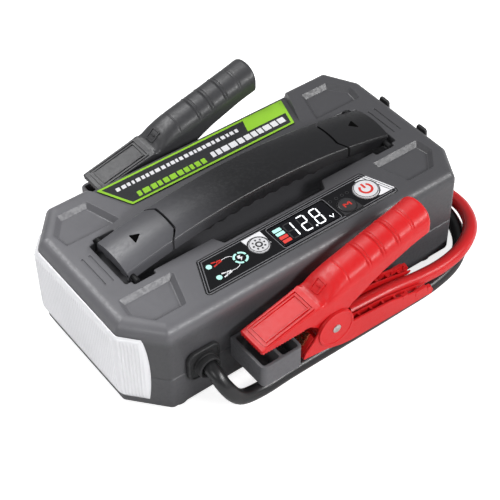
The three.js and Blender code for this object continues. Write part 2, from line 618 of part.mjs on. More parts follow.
// The upper lever: flat nose at -X, web about the pivot, round hollow grip towards +X.
function upperLever(y) {
  const web = CLAMP_HALF_WIDTH - CHEEK - GAP;
  const nose = [[-72, 56.8], [-71.2, 58.6], [-22, 71.4], [-12, 74], [-2, 58], [-34, 56.8]];
  const webOutline = [
    [-34, 56.8], [-24.5, 50], ...arcPoints(11, 190, 350, 8),
    [2, 52], [14, 62], [24, 74], [-16, 80], [-26, 70],
  ];
  const gripLength = 86;
  const gripTilt = THREE.MathUtils.degToRad(-12.5);
  const section = (halfWidth, crown, skirt) => {
    const points = [];
    for (let step = 0; step <= 10; step += 1) {
      const angle = step / 10 * Math.PI;
      points.push([halfWidth * Math.cos(angle), crown * Math.sin(angle)]);
    }
    return [...points, [-halfWidth + 0.5, -skirt], [halfWidth - 0.5, -skirt]];
  };
  const place = (geometry) => {
    geometry.rotateY(gripTilt);
    geometry.translate(-12, y, 76);
    return solid(geometry);
  };
  const grip = place(alongX(section(CLAMP_HALF_WIDTH, 15, 5), 0, gripLength));
  const hollow = place(alongX(section(CLAMP_HALF_WIDTH - 2.5, 12.5, 8), 32, gripLength - 2.5));
  const shoulder = prismY([[-22, 71.4], [-16, 84], [-8, 93], [30, 102], [30, 60], [-22, 60]], y - 30, y + 30);
  const noseZone = join(
    box(-80, -27.5, y - 12.5, y + 12.5, 50, 80),
    box(-28, 0, y - web, y + web, 50, 80));
  const body = join(
    prismY(nose, y - 20, y + 20).intersect(noseZone),
    prismY(webOutline, y - web, y + web),
    cut(grip, box(-40, 30, y - 40, y + 40, 50, 110)),
    grip.intersect(shoulder));
  const springBay = box(PIVOT_X - 11.5, PIVOT_X + 11.5, y - 7.5, y + 7.5, 28, PIVOT_Z + 9);
  return cut(body, hollow, springBay, rivetBore(y));
}

// Teeth along the bottom edge of the upper jaw's copper strip, with a hook at its tip.
function upperJaw(y) {
  const points = [[-36, 56.5], [-70.9, 56.5], [-70.9, 39]];
  for (let tooth = 0; tooth < 10; tooth += 1) {
    const x = -67.4 + tooth * 3.2;
    points.push([x, 54], [x + 1.6, 52.4]);
  }
  points.push([-35.5, 54]);
  return prismY(points, y - 9, y + 9);
}

function lowerJaw(y) {
  const outline = [
    [-37.2, 35.7], [-36.8, 38], [-34.6, 38.9], [-34.2, 41.2], [-32, 42], [-31.6, 44.4], [-29.4, 45.6],
    [-28.9, 43.5], [-37, 33.9], [-38.4, 34.1],
  ];
  return prismY(outline, y - 9, y + 9);
}

function pivotPin(y) {
  const heads = [-1, 1].map((way) => rodY(PIVOT_X, PIVOT_Z, RIVET_HEAD_RADIUS,
    ...span(y + way * (CLAMP_HALF_WIDTH + GAP), y + way * (CLAMP_HALF_WIDTH + 1.2)), 16));
  const reach = CLAMP_HALF_WIDTH + 0.6;
  return join(rodY(PIVOT_X, PIVOT_Z, RIVET_RADIUS, y - reach, y + reach, 16), ...heads);
}

// The outer shape of the torsion spring's coils.
function clampSpring(y) {
  const coils = rodY(PIVOT_X, PIVOT_Z, SPRING_RADIUS, y - 7, y + 7, 16);
  return cut(coils, rodY(PIVOT_X, PIVOT_Z, RIVET_RADIUS + 0.5, y - 9, y + 9, 16));
}

[['red', -CLAMP_Y, M.red], ['black', CLAMP_Y, M.grey]].forEach(([label, y, plastic]) => {
  add(`${label}_lower_lever`, lowerLever(y), plastic);
  add(`${label}_upper_lever`, upperLever(y), plastic);
  add(`${label}_upper_jaw`, upperJaw(y), M.copper);
  add(`${label}_lower_jaw`, lowerJaw(y), M.copper);
  add(`${label}_pivot_pin`, pivotPin(y), M.steel);
  add(`${label}_clamp_spring`, clampSpring(y), M.steel);
});

// ---- cables ----------------------------------------------------------------------------------
// Each cable leaves its gland, drops to the floor, runs along its own side of the case, goes round
// the port end and climbs over the other cable into the far clamp's trough.
const FLOOR_Z = 5.8;

function cable(points) {
  const through = points.map((point) => new THREE.Vector3(...point));
  const path = new THREE.CatmullRomCurve3(through, false, 'centripetal');
  const ring = [];
  for (let step = 0; step < 10; step += 1) {
    const angle = step / 10 * 2 * Math.PI;
    ring.push([CABLE_RADIUS * Math.cos(angle), CABLE_RADIUS * Math.sin(angle)]);
  }
  const options = { steps: 52, extrudePath: path, bevelEnabled: false };
  return solid(new THREE.ExtrudeGeometry(shapeOf(ring), options));
}

function route(side, points) {
  return points.map(([x, y, z]) => [x, side * y, z]);
}

// y is counted positive on the side of the gland that the cable leaves.
const glandRun = [
  [-97, 71, 39], [-97, 80, 39], [-97, 90, 39], [-94.5, 98.5, 30], [-85, 101, 15], [-67, 99, FLOOR_Z + 0.8],
  [-40, 98, FLOOR_Z], [0, 98, FLOOR_Z], [60, 98, FLOOR_Z], [95, 97, FLOOR_Z],
];
const blackRoute = route(-1, [
  ...glandRun, [122, 91, FLOOR_Z], [141, 78, FLOOR_Z], [153, 56, FLOOR_Z], [157, 28, FLOOR_Z],
  [157, 0, FLOOR_Z], [156, -30, 6.5], [152, -56, 11], [142, -76, 16], [125, -90, 18.3], [105, -96, 19],
  [82, -97.5, 21.5], [50, -97.5, TROUGH_CABLE_Z], [12, -97.5, 31.2],
]);
const redRoute = route(1, [
  ...glandRun, [120, 95, FLOOR_Z], [142, 86, FLOOR_Z], [160, 66, FLOOR_Z], [169, 35, FLOOR_Z],
  [170, 0, FLOOR_Z], [169, -30, 7.5], [163, -58, 13], [148, -80, 17.5], [127, -92, 18.3], [105, -96.5, 19],
  [82, -97.5, 21.5], [50, -97.5, TROUGH_CABLE_Z], [12, -97.5, 31.2],
]);
add('black_cable', cable(blackRoute), M.black);
add('red_cable', cable(redRoute), M.red);

export default pack;
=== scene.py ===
"""A jump starter pack: hard case, rising carry handle, control panel, lamp and two clamps on cables.

Every new piece is a surface worked out with numpy. Sizes in the functions are millimetres.
"""

import math

import bmesh
import bpy
import numpy as np
from mathutils import Matrix, Vector, geometry


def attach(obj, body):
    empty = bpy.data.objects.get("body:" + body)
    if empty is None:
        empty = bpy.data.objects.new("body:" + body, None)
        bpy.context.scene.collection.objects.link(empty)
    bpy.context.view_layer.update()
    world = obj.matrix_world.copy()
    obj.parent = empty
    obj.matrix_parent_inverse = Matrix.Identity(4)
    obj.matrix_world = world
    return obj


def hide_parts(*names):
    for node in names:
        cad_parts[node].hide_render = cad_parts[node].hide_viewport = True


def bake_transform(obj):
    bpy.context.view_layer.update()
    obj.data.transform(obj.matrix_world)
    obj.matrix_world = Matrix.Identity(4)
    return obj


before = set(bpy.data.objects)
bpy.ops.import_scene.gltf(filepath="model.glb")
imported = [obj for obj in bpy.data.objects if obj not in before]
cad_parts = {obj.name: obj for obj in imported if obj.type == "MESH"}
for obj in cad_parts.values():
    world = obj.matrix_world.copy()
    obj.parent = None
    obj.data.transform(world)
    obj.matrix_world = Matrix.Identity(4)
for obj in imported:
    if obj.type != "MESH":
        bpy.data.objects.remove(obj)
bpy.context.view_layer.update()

bl_info = {
    "name": "Jump starter pack",
    "version": (1, 0, 0),
    "blender": (4, 5, 0),
    "location": "3D View > Sidebar > Jump Starter",
    "description": "Builds a jump starter pack around its packed frame",
    "category": "Object",
}

# ---- sizes shared by several pieces, in millimetres ----
CASE_X, CASE_Y, CASE_TOP = 145.0, 76.0, 81.5
LAMP_LEG, PORT_LEG, CORNER_LEG = 23.0, 15.0, 27.0
EDGE_ROUND, CORNER_ROUND, WALL = 9.0, 5.0, 2.6
PARTING_Z = 35.0
SLOPE_START, SLOPE = 37.0, 9.0 / 39.0
PANEL = [(-83.5, -65), (86, -65), (74, -33.5), (-70, -33.5)]
PANEL_FLOOR, PANEL_TOP = 79.9, 81.2
POCKET = [(88, -32), (97, -61), (121, -61), (133, -46), (131, -32)]
BUTTONS = {"power": (66.8, -49.5, 9.5), "mode": (45.8, -54, 6.7), "light": (-27, -47.5, 7.6)}
DISPLAY = (-14, 35, -60, -39)
CHANNEL = [
    (-119, -22.5), (-114.4, -22.5), (-114.4, -26), (-97.1, -26), (-97.1, -22.5), (-48, -22.5),
    (-44, -31), (44, -31), (48, -22.5), (97.1, -22.5), (97.1, -26), (114.4, -26), (114.4, -22.5),
    (119, -22.5), (119, 22.5), (114.4, 22.5), (114.4, 26), (97.1, 26), (97.1, 22.5),
    (-97.1, 22.5), (-97.1, 26), (-114.4, 26), (-114.4, 22.5), (-119, 22.5),
]
CLAMP_Y, PIVOT = 97.5, (-10.8, 43.2)
CABLE_RADIUS = 5.5
FLOOR_LIE = 5.8
GLAND, GLAND_HALF, GLAND_CORNER = (-97.0, 39.0), 13, 6
LENS_LOW, LENS_HIGH, LENS_PROUD = 12.0, 71.7, 3.2
RIB_PITCH, RIB_HEIGHT = 2.4, 0.5
HANDLE_HALF, HANDLE_EDGE, HANDLE_CROWN, HANDLE_DEPTH = 18.5, 100, 3.5, 9
HANDLE_END, HANDLE_ARCH, HANDLE_WALL, HANDLE_SKIN = 115, 14.5, 2.2, 2.6
GRIP_GROOVES, GRIP_BANDS = (18.4, 30.4, 43.2), (0.8, 55.5, 57.0)
LEVER_START, LEVER_END, NOSE_END, NOSE_LOW, NOSE_HIGH = -72, 68.5, -23.5, 58.9, 70.9
BOSS_RADIUS, JAW_HALF = 15.0, 9.2
PRINT_DEEP, PRINT_HIGH = 0.1, 0.12
LIT_STROKE, LEAD_STROKE = 0.7, 0.45
DIGIT_SIZE, DIGIT_STROKE = (6.0, 14.5), 1.0
WELD = 0.002


# ---- numpy surface tools ----
def ring(corners, radius, grow=0.0, arc=5):
    """A polygon's outline (counter-clockwise) moved outwards by grow, each corner turned into an arc.

    Each corner moves along the sum of its two edge normals, divided by one plus their product. The arc's
    centre lies back along that line by radius / cos(half the turn), and its points swing from one edge
    normal to the next. A hollow corner swings the other way.
    """
    p = np.asarray(corners, float)
    ahead = np.roll(p, -1, 0) - p
    ahead /= np.linalg.norm(ahead, axis=1)[:, None]
    behind = np.roll(ahead, 1, 0)
    n1 = np.stack([behind[:, 1], -behind[:, 0]], 1)
    n2 = np.stack([ahead[:, 1], -ahead[:, 0]], 1)
    moved = p + grow * (n1 + n2) / (1 + (n1 * n2).sum(1))[:, None]
    turn = np.arctan2(behind[:, 0] * ahead[:, 1] - behind[:, 1] * ahead[:, 0], (behind * ahead).sum(1))
    sign = np.where(turn < -1e-6, -1.0, 1.0)
    r = np.maximum(np.broadcast_to(radius, turn.shape) + grow * sign, 0.02)
    mid = (n1 + n2) / np.linalg.norm(n1 + n2, axis=1)[:, None]
    centre = moved - mid * (sign * r / np.cos(turn / 2))[:, None]
    angle = np.arctan2(mid[:, 1], mid[:, 0])[:, None] + turn[:, None] / 2 * np.linspace(-1, 1, arc)
    swing = np.stack([np.cos(angle), np.sin(angle)], -1) * (sign * r)[:, None, None]
    return (centre[:, None] + swing).reshape(-1, 2)


def circle(x, y, r, count=32, start=0.0):
    a = np.arange(count) / count * 2 * np.pi + start
    return np.stack([x + r * np.cos(a), y + r * np.sin(a)], 1)


def lift(flat, z):
    """A flat outline as points in space at height z (a number or one for each point)."""
    return np.concatenate([flat, np.broadcast_to(z, (len(flat),))[:, None]], 1)


def quarter(radius, steps=4):
    """(run, rise) of a quarter circle: radius (1 - cos a), radius sin a."""
    a = np.linspace(0, np.pi / 2, steps + 1)
    return radius * (1 - np.cos(a)), radius * np.sin(a)


def inside(points, loop):
    """Which points lie in a closed outline: a ray along +X crosses it an odd number of times."""
    x, y = points[:, 0][:, None], points[:, 1][:, None]
    ax, ay = loop[:, 0], loop[:, 1]
    bx, by = np.roll(ax, -1), np.roll(ay, -1)
    spans = (ay > y) != (by > y)
    with np.errstate(divide="ignore", invalid="ignore"):
        cross = ax + (y - ay) / (by - ay) * (bx - ax)
    return ((spans & (x < cross)).sum(1) % 2) == 1


def spline(points, count):
    """Centripetal Catmull-Rom through points, read at count places an equal length apart.

    Each stretch blends its four points with knots spaced by the square root of the distance between them.
    """
    p = np.asarray(points, float)
    p = np.vstack([2 * p[0] - p[1], p, 2 * p[-1] - p[-2]])
    t = np.concatenate([[0], np.cumsum(np.linalg.norm(np.diff(p, axis=0), axis=1) ** 0.5)])
    i = np.arange(len(p) - 3)
    u = np.linspace(0, 1, 41)[:-1]
    t0, t1, t2, t3 = (t[i + k][:, None] for k in range(4))
    at = t1 + (t2 - t1) * u
    w = lambda a, b: ((at - a) / (b - a))[..., None]
    p0, p1, p2, p3 = (p[i + k][:, None] for k in range(4))
    a1, a2, a3 = p0 + (p1 - p0) * w(t0, t1), p1 + (p2 - p1) * w(t1, t2), p2 + (p3 - p2) * w(t2, t3)
    b1, b2 = a1 + (a2 - a1) * w(t0, t2), a2 + (a3 - a2) * w(t1, t3)
    fine = np.vstack([(b1 + (b2 - b1) * w(t1, t2)).reshape(-1, 3), p[-2]])
    run = np.concatenate([[0], np.cumsum(np.linalg.norm(np.diff(fine, axis=0), axis=1))])
    at = np.linspace(0, run[-1], count)
    return np.stack([np.interp(at, run, fine[:, k]) for k in range(3)], 1), run[-1]


def frames(path, reference):
    """Two unit directions across a path: along x reference, and their product with the tangent."""
    along = np.gradient(path, axis=0)
    along /= np.linalg.norm(along, axis=1)[:, None]
    side = np.cross(along, reference)
    side /= np.linalg.norm(side, axis=1)[:, None]
    return side, np.cross(side, along)


class Form:
    """Points and faces gathered for one piece. Every closed body in it is turned outwards when it is made."""

    def __init__(self):
        self.points, self.faces, self.inks, self.count = [], [], [], 0

    def add(self, points, faces, ink=0):
        points = np.asarray(points, float).reshape(-1, 3)
        self.points.append(points)
        self.faces += [tuple(int(i) + self.count for i in f) for f in faces]
        self.inks += [ink] * len(faces)
        self.count += len(points)
        return self

    def net(self, rows, closed=True, caps=(False, False), keep=None, ink=0):
        """A grid of points (row, column, 3) as quads, with flat caps over its first and last rows."""
        rows = np.asarray(rows, float)
        m, n = rows.shape[:2]
        r = np.arange(m - 1)[:, None] * n
        c = np.arange(n if closed else n - 1)[None, :]
        d = (c + 1) % n
        faces = np.stack([r + c, r + d, r + n + d, r + n + c], -1)
        faces = faces.reshape(-1, 4) if keep is None else faces[keep]
        faces = [tuple(f) for f in faces]
        if caps[0]:
            faces.append(tuple(range(n))[::-1])
        if caps[1]:
            faces.append(tuple(range((m - 1) * n, m * n)))
        return self.add(rows, faces, ink)

    def shell(self, outer, inner, keep):
        """Two grids with the same places, joined round every edge where the faces kept end.

        Faces are kept where keep is true. A kept face beside a dropped one, or beside the grid's first row,
        gets a wall from the outer grid to the inner one. The last rows stay open for their flat fills.
        """
        self.net(outer, keep=keep)
        self.net(inner, keep=keep)
        m, n = outer.shape[:2]
        both = np.concatenate([outer.reshape(-1, 3), inner.reshape(-1, 3)])
        k = np.vstack([np.zeros((1, n), bool), keep, np.zeros((1, n), bool)])
        row, col = np.nonzero(k[1:] != k[:-1])
        row, col = row[row < m - 1], col[row < m - 1]
        a, b = row * n + col, row * n + (col + 1) % n
        faces = [tuple(f) for f in np.stack([a, b, b + m * n, a + m * n], 1)]
        row, col = np.nonzero(keep != np.roll(keep, 1, 1))
        a, b = row * n + col, (row + 1) * n + col
        faces += [tuple(f) for f in np.stack([a, b, b + m * n, a + m * n], 1)]
        return self.add(both, faces)

    def fill(self, outer, holes=(), z=0.0, lines=()):
        """A flat fill of an outline that leaves out its holes, at height z or at z(x, y).

        The outlines are edges of a Delaunay triangulation, and the triangles in a hole are left out.
        lines are more edges, each a pair of points.
        """
        loops = [np.asarray(outer, float), *[np.asarray(h, float) for h in holes]]
        points, edges, start = [], [], 0
        for loop in loops:
            loop = loop[np.linalg.norm(loop - np.roll(loop, 1, 0), axis=1) > 1e-4]
            points.append(loop)
            edges += [(start + i, start + (i + 1) % len(loop)) for i in range(len(loop))]
            start += len(loop)
        for a, b in lines:
            points.append(np.array([a, b], float))
            edges.append((start, start + 1))
            start += 2
        flat = [Vector(p) for p in np.concatenate(points)]
        made, _, faces, *_ = geometry.delaunay_2d_cdt(flat, edges, [], 1, 1e-5)
        made, faces = np.array(made), np.array(faces)
        middle = made[faces].mean(1)
        good = inside(middle, loops[0])
        for hole in loops[1:]:
            good &= ~inside(middle, hole)
        height = z(made[:, 0], made[:, 1]) if callable(z) else np.full(len(made), float(z))
        return self.add(np.column_stack([made, height]), [tuple(f) for f in faces[good]])

    def plate(self, corners, low, high, bevel=0.6, radius=1.0, axis="z", arc=4):
        """An outline carried along an axis: round corners, and both flat ends edged with a quarter round."""
        run, rise = quarter(bevel, 2)
        rows = [(g, w) for g, w in zip(-run[::-1], low + bevel - rise[::-1])]
        rows += [(g, w) for g, w in zip(-run, high - bevel + rise)]
        net = np.array([lift(ring(corners, radius, g, arc), w) for g, w in rows])
        return self.net(turned(net, axis), caps=(True, True))

    def lathe(self, profile, centre, axis="z", count=32, caps=(True, True)):
        """A profile of (radius, height) turned round an axis; a radius of nothing closes the end."""
        profile = np.asarray(profile, float)
        net = np.array([lift(circle(0, 0, max(r, 0.01), count), h) for r, h in profile])
        return self.net(turned(net, axis) + np.asarray(centre, float), caps=caps)

    def tube(self, path, radius, reference=(0.55, 0, 0.83), sides=20):
        """A round section carried along a path: the path plus radius times a unit circle across it."""
        path = np.asarray(path, float)
        side, up = frames(path, reference)
        a = np.arange(sides) / sides * 2 * np.pi
        r = np.broadcast_to(radius, (len(path),))[:, None, None]
        net = path[:, None] + r * (np.cos(a)[:, None] * side[:, None] + np.sin(a)[:, None] * up[:, None])
        return self.net(net, caps=(True, True))

    def make(self, name, materials, body, nodes=(), slot=None, crease=32, weighted=True):
        """Puts the points in a mesh in metres, welds them, turns each closed body outwards and shades it."""
        mesh = bpy.data.meshes.new(name)
        mesh.from_pydata((np.concatenate(self.points) / 1000).tolist(), [], self.faces)
        mesh.polygons.foreach_set("material_index", self.inks)
        b = bmesh.new()
        b.from_mesh(mesh)
        bmesh.ops.remove_doubles(b, verts=b.verts, dist=WELD / 1000)
        bmesh.ops.dissolve_degenerate(b, edges=b.edges, dist=1e-7)
        bmesh.ops.recalc_face_normals(b, faces=b.faces)
        b.to_mesh(mesh)
        b.free()
        mesh.polygons.foreach_set("use_smooth", [True] * len(mesh.polygons))
        mesh.set_sharp_from_angle(angle=math.radians(crease))
        for material in materials if isinstance(materials, (list, tuple)) else [materials]:
            mesh.materials.append(MATERIALS[material])
        obj = bpy.data.objects.new(name, mesh)
        bpy.context.collection.objects.link(obj)
        if weighted:
            even = obj.modifiers.new("even_shading", "WEIGHTED_NORMAL")
            even.keep_sharp = True
        if body:
            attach(obj, body)
        if nodes:
            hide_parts(*nodes)
        return obj


def turned(net, axis):
    """Points made in XY with height Z, laid so that their height runs along another axis."""
    if axis == "y":
        return np.stack([net[..., 0], net[..., 2], net[..., 1]], -1)
    if axis == "x":
        return np.stack([net[..., 2], net[..., 0], net[..., 1]], -1)
    return net


def flip_x(points):
    return [(-x, y) for x, y in points][::-1]


def flip_y(points):
    return [(x, -y) for x, y in points][::-1]


# ---- materials ----
MATERIALS = {}


def node(tree, kind, at=(0, 0), **values):
    made = tree.nodes.new(kind)
    made.location = at
    for key, value in values.items():
        if key in made.inputs.keys():
            made.inputs[key].default_value = value
        else:
            setattr(made, key.lower(), value)
    return made


def grain_group():
    """Moulded grain, one for every plastic: fine noise for the surface's height, broad noise for its tone."""
    tree = bpy.data.node_groups.new("moulded_grain", "ShaderNodeTree")
    for name, kind, value in (("Coordinates", "NodeSocketVector", None), ("Fine", "NodeSocketFloat", 1400),
                              ("Broad", "NodeSocketFloat", 18), ("Stretch", "NodeSocketVector", None)):
        socket = tree.interface.new_socket(name, in_out="INPUT", socket_type=kind)
        if value is not None:
            socket.default_value = value
    for name in ("Height", "Tone", "Speck"):
        tree.interface.new_socket(name, in_out="OUTPUT", socket_type="NodeSocketFloat")
    entry, out = node(tree, "NodeGroupInput", (-700, 0)), node(tree, "NodeGroupOutput", (500, 0))
    scaled = node(tree, "ShaderNodeVectorMath", (-500, 0), operation="MULTIPLY")
    fine = node(tree, "ShaderNodeTexNoise", (-250, 150), Detail=3.0, Roughness=0.6)
    broad = node(tree, "ShaderNodeTexNoise", (-250, -100), Detail=4.0, Roughness=0.55)
    speck = node(tree, "ShaderNodeTexNoise", (-250, -350), Detail=1.0, Scale=420.0)
    tone = node(tree, "ShaderNodeMapRange", (0, -100))
    tone.inputs["From Min"].default_value, tone.inputs["From Max"].default_value = 0.3, 0.7
    dots = node(tree, "ShaderNodeMapRange", (0, -350))
    dots.inputs["From Min"].default_value, dots.inputs["From Max"].default_value = 0.45, 0.65
    link = tree.links.new
    link(entry.outputs["Coordinates"], scaled.inputs[0])
    link(entry.outputs["Stretch"], scaled.inputs[1])
    for texture, scale in ((fine, "Fine"), (broad, "Broad")):
        link(scaled.outputs[0], texture.inputs["Vector"])
        link(entry.outputs[scale], texture.inputs["Scale"])
    link(scaled.outputs[0], speck.inputs["Vector"])
    link(broad.outputs["Fac"], tone.inputs["Value"])
    link(speck.outputs["Fac"], dots.inputs["Value"])
    link(fine.outputs["Fac"], out.inputs["Height"])
    link(tone.outputs[0], out.inputs["Tone"])
    link(dots.outputs[0], out.inputs["Speck"])
    return tree


def finish_of(name, light, dark, rough=(0.4, 0.5), fine=1400.0, broad=18.0, depth=0.15, reach=0.00012,
              stretch=(1, 1, 1), metal=0.0, coat=0.0, coat_rough=0.1, ior=1.5, glow=None, through=0.0,
              sheen=0.0, painted_light_ramps=()):
    """A finish with its own tones: the grain group's tone mixes two colours and two roughnesses.

    Each of painted_light_ramps = (axis, start, end, colour) paints light and shade into the base colour,
    moving it towards another along an object axis.
    """
    material = bpy.data.materials.new(name)
    material.use_nodes = True
    tree = material.node_tree
    tree.nodes.clear()
    link = tree.links.new
    out = node(tree, "ShaderNodeOutputMaterial", (700, 0))
    shader = node(tree, "ShaderNodeBsdfPrincipled", (400, 0))
    where = node(tree, "ShaderNodeTexCoord", (-900, 0))
    grain = node(tree, "ShaderNodeGroup", (-650, 0), node_tree=bpy.data.node_groups["moulded_grain"])
    grain.inputs["Fine"].default_value, grain.inputs["Broad"].default_value = fine, broad
    grain.inputs["Stretch"].default_value = stretch
    link(where.outputs["Object"], grain.inputs["Coordinates"])
    colour = node(tree, "ShaderNodeMix", (-350, 200), data_type="RGBA")
    colour.inputs[6].default_value = (*light, 1)
    colour.inputs[7].default_value = (*dark, 1)
    link(grain.outputs["Tone"], colour.inputs[0])
    base = colour.outputs[2]
    # each ramp is painted shade: it darkens the base colour along an object axis, standing in for how the
    # light falls
    for axis, start, end, other in painted_light_ramps:
        split = node(tree, "ShaderNodeSeparateXYZ", (-650, 350))
        link(where.outputs["Object"], split.inputs[0])
        along = node(tree, "ShaderNodeMapRange", (-350, 420), interpolation_type="SMOOTHSTEP")
        along.inputs["From Min"].default_value, along.inputs["From Max"].default_value = start, end
        link(split.outputs["XYZ".index(axis)], along.inputs["Value"])
        shade = node(tree, "ShaderNodeMix", (-100, 300), data_type="RGBA")
        shade.inputs[7].default_value = (*other, 1)
        link(along.outputs[0], shade.inputs[0])
        link(base, shade.inputs[6])
        base = shade.outputs[2]
    link(base, shader.inputs["Base Color"])
    level = node(tree, "ShaderNodeMapRange", (-100, 0))
    level.inputs["To Min"].default_value, level.inputs["To Max"].default_value = rough
    link(grain.outputs["Speck"], level.inputs["Value"])
    link(level.outputs[0], shader.inputs["Roughness"])
    bump = node(tree, "ShaderNodeBump", (-100, -250))
    bump.inputs["Strength"].default_value, bump.inputs["Distance"].default_value = depth, reach
    link(grain.outputs["Height"], bump.inputs["Height"])
    link(bump.outputs[0], shader.inputs["Normal"])
    for socket, value in (("Metallic", metal), ("Coat Weight", coat), ("Coat Roughness", coat_rough),
                          ("IOR", ior), ("Transmission Weight", through), ("Sheen Weight", sheen)):
        shader.inputs[socket].default_value = value
    if glow:
        link(base, shader.inputs["Emission Color"])
        shader.inputs["Emission Strength"].default_value = glow
    link(shader.outputs[0], out.inputs[0])
    MATERIALS[name] = material
    return material


def tones(colour, spread=0.12):
    """A colour and a slightly darker one."""
    light = tuple(min(1.0, c * (1 + spread)) for c in colour)
    return light, tuple(c * (1 - spread) for c in colour)


def make_finishes(s):
    """Every finish of the pack. Colours that a user would change come from the settings."""
    grain_group()
    upper, red, dark = tuple(s.casing_colour), tuple(s.clamp_colour), tuple(s.handle_colour)
    # Painted light and shade on the casing: its colour is lighter at the lamp end and darker towards the port
    # end, and painted darker down its sides below the top's rounding.
    finish_of("casing", *tones(upper, 0.08), (0.36, 0.48), fine=900, depth=0.3,
              painted_light_ramps=[("X", -0.15, 0.06, tuple(c * 0.45 for c in upper)),
                     ("Z", 0.0785, 0.066, tuple(c * 0.42 for c in upper))])
    finish_of("casing_low", *tones(tuple(c * 0.5 for c in upper), 0.08), (0.45, 0.58), fine=900, depth=0.3)
    finish_of("holster_plastic", *tones(tuple(c * 0.75 for c in upper), 0.08), (0.45, 0.58), fine=900,
              depth=0.3)
    # Painted light on the handle: five times its set colour at the lamp end, fading to 0.6 of it from the
    # middle on, where it is painted darker.
    finish_of("handle", *tones(tuple(c * 5.0 for c in dark), 0.08), (0.3, 0.4), fine=1500, depth=0.1,
              ior=1.45, painted_light_ramps=[("X", -0.115, -0.01, tuple(c * 0.6 for c in dark))])
    finish_of("grip_soft", *tones((0.010, 0.010, 0.011)), (0.6, 0.75), fine=700, depth=0.3)
    finish_of("mark_black", *tones((0.002, 0.002, 0.002)), (0.85, 0.95), fine=700, depth=0.1, ior=1.1)
    finish_of("clamp_red", *tones(red, 0.06), (0.34, 0.44), fine=700, broad=12, depth=0.12, ior=1.45)
    finish_of("clamp_grey", *tones((0.045, 0.045, 0.048), 0.08), (0.36, 0.46), fine=900, depth=0.15)
    finish_of("cable_red", *tones(tuple(c * 0.95 for c in red), 0.06), (0.3, 0.34), fine=900, depth=0.004)
    finish_of("cable_black", *tones((0.016, 0.016, 0.017), 0.08), (0.3, 0.34), fine=900, depth=0.004)
    finish_of("rubber", *tones((0.018, 0.018, 0.019), 0.12), (0.55, 0.7), fine=800, depth=0.3)
    finish_of("panel_gloss", *tones((0.006, 0.006, 0.007), 0.1), (0.24, 0.27), fine=1200, depth=0.008,
              ior=1.36)
    finish_of("screen", *tones((0.004, 0.004, 0.006), 0.1), (0.14, 0.2), fine=1200, depth=0.01, ior=1.38)
    finish_of("print_white", *tones((0.8, 0.8, 0.82), 0.04), (0.35, 0.45), depth=0.04)
    finish_of("print_grey", *tones((0.16, 0.16, 0.17), 0.05), (0.35, 0.45), depth=0.04)
    finish_of("print_dim", *tones((0.028, 0.028, 0.030), 0.05), (0.35, 0.45), depth=0.04)
    finish_of("print_red", *tones((0.62, 0.03, 0.02), 0.05), (0.35, 0.45), depth=0.04)
    finish_of("print_green", *tones((0.30, 0.62, 0.03), 0.05), (0.35, 0.45), depth=0.04)
    finish_of("label_black", *tones((0.022, 0.023, 0.025), 0.08), (0.3, 0.4), depth=0.05)
    finish_of("lit_white", *tones((0.85, 0.88, 0.9), 0.03), (0.3, 0.4), depth=0.02, glow=1.1)
    finish_of("lit_mint", *tones((0.42, 0.80, 0.70), 0.04), (0.3, 0.4), depth=0.02, glow=0.3)
    finish_of("lit_red", *tones((0.62, 0.05, 0.04), 0.04), (0.3, 0.4), depth=0.02, glow=0.25)
    finish_of("button_white", *tones((0.66, 0.66, 0.68), 0.03), (0.35, 0.45), depth=0.1)
    finish_of("button_black", *tones((0.03, 0.03, 0.032), 0.08), (0.35, 0.45), depth=0.1)
    # Painted light: the lens glows a little though the lamp is off.
    finish_of("lens", *tones((0.88, 0.88, 0.90), 0.04), (0.16, 0.24), fine=500, depth=0.05, ior=1.49,
              coat=0.3, through=0.25, glow=0.12)
    finish_of("white_plastic", *tones((0.8, 0.8, 0.82), 0.03), (0.35, 0.45), depth=0.1)
    finish_of("copper", *tones((0.62, 0.27, 0.15), 0.15), (0.25, 0.42), fine=300, broad=120, metal=1.0)
    finish_of("steel", *tones((0.62, 0.61, 0.58), 0.1), (0.25, 0.4), fine=400, broad=150, metal=1.0)
    finish_of("dark_pin", *tones((0.015, 0.015, 0.016), 0.15), (0.55, 0.7), fine=400, broad=150, ior=1.3)
    finish_of("board", *tones((0.012, 0.10, 0.035), 0.2), (0.4, 0.55), broad=90)
    finish_of("cell_wrap", *tones((0.35, 0.40, 0.45), 0.08), (0.3, 0.4), broad=40, metal=0.4)
    finish_of("inner_black", *tones((0.02, 0.02, 0.021), 0.1), (0.5, 0.6))


KEPT_FINISH = {
    "casing_screw": "steel", "lamp_reflector": "white_plastic", "lamp_board": "board",
    "panel_board": "board", "battery_tray": "inner_black", "battery_cell": "cell_wrap",
    "bus_bar": "copper", "main_board": "board", "relay": "inner_black", "port_module": "inner_black",
    "left_hinge": "dark_pin", "right_hinge": "dark_pin", "left_slide": "dark_pin", "right_slide": "dark_pin",
}


# ---- casings ----
def case_corners(inset=0.0):
    """The case's corners, with the ends of its openings and of the label's slope as points on its sides.

    The slope's ends run outwards as y grows, so their places are read at this inset's own y.
    """
    x, y = CASE_X, CASE_Y
    depth = y - inset - SLOPE_START
    right, left, gland = 76 + 0.414 * depth, -75 - 0.414 * depth, -87.5 + 0.78 * inset
    lens = (-x + 0.45 * LAMP_LEG, y - CORNER_LEG + 0.45 * CORNER_LEG)
    return [
        (-x, -y + CORNER_LEG), (lens[0], -lens[1]), (-x + LAMP_LEG, -y), (-106.5, -y), (-87.5, -y),
        (x - PORT_LEG, -y), (x, -y + CORNER_LEG), (x, -37.7), (x, 37.7), (x, y - CORNER_LEG),
        (x - PORT_LEG, y), (right + 0.4, y), (right - 0.4, y), (gland, y), (left + 0.4, y), (left - 0.4, y),
        (-106.5, y), (-x + LAMP_LEG, y), lens, (-x, y - CORNER_LEG),
    ]


LAMP_COLUMNS, NEAR_GLAND_COLUMNS, PORT_COLUMNS, FAR_GLAND_COLUMNS = (94, 105), (19, 20), (39, 40), (69, 80)


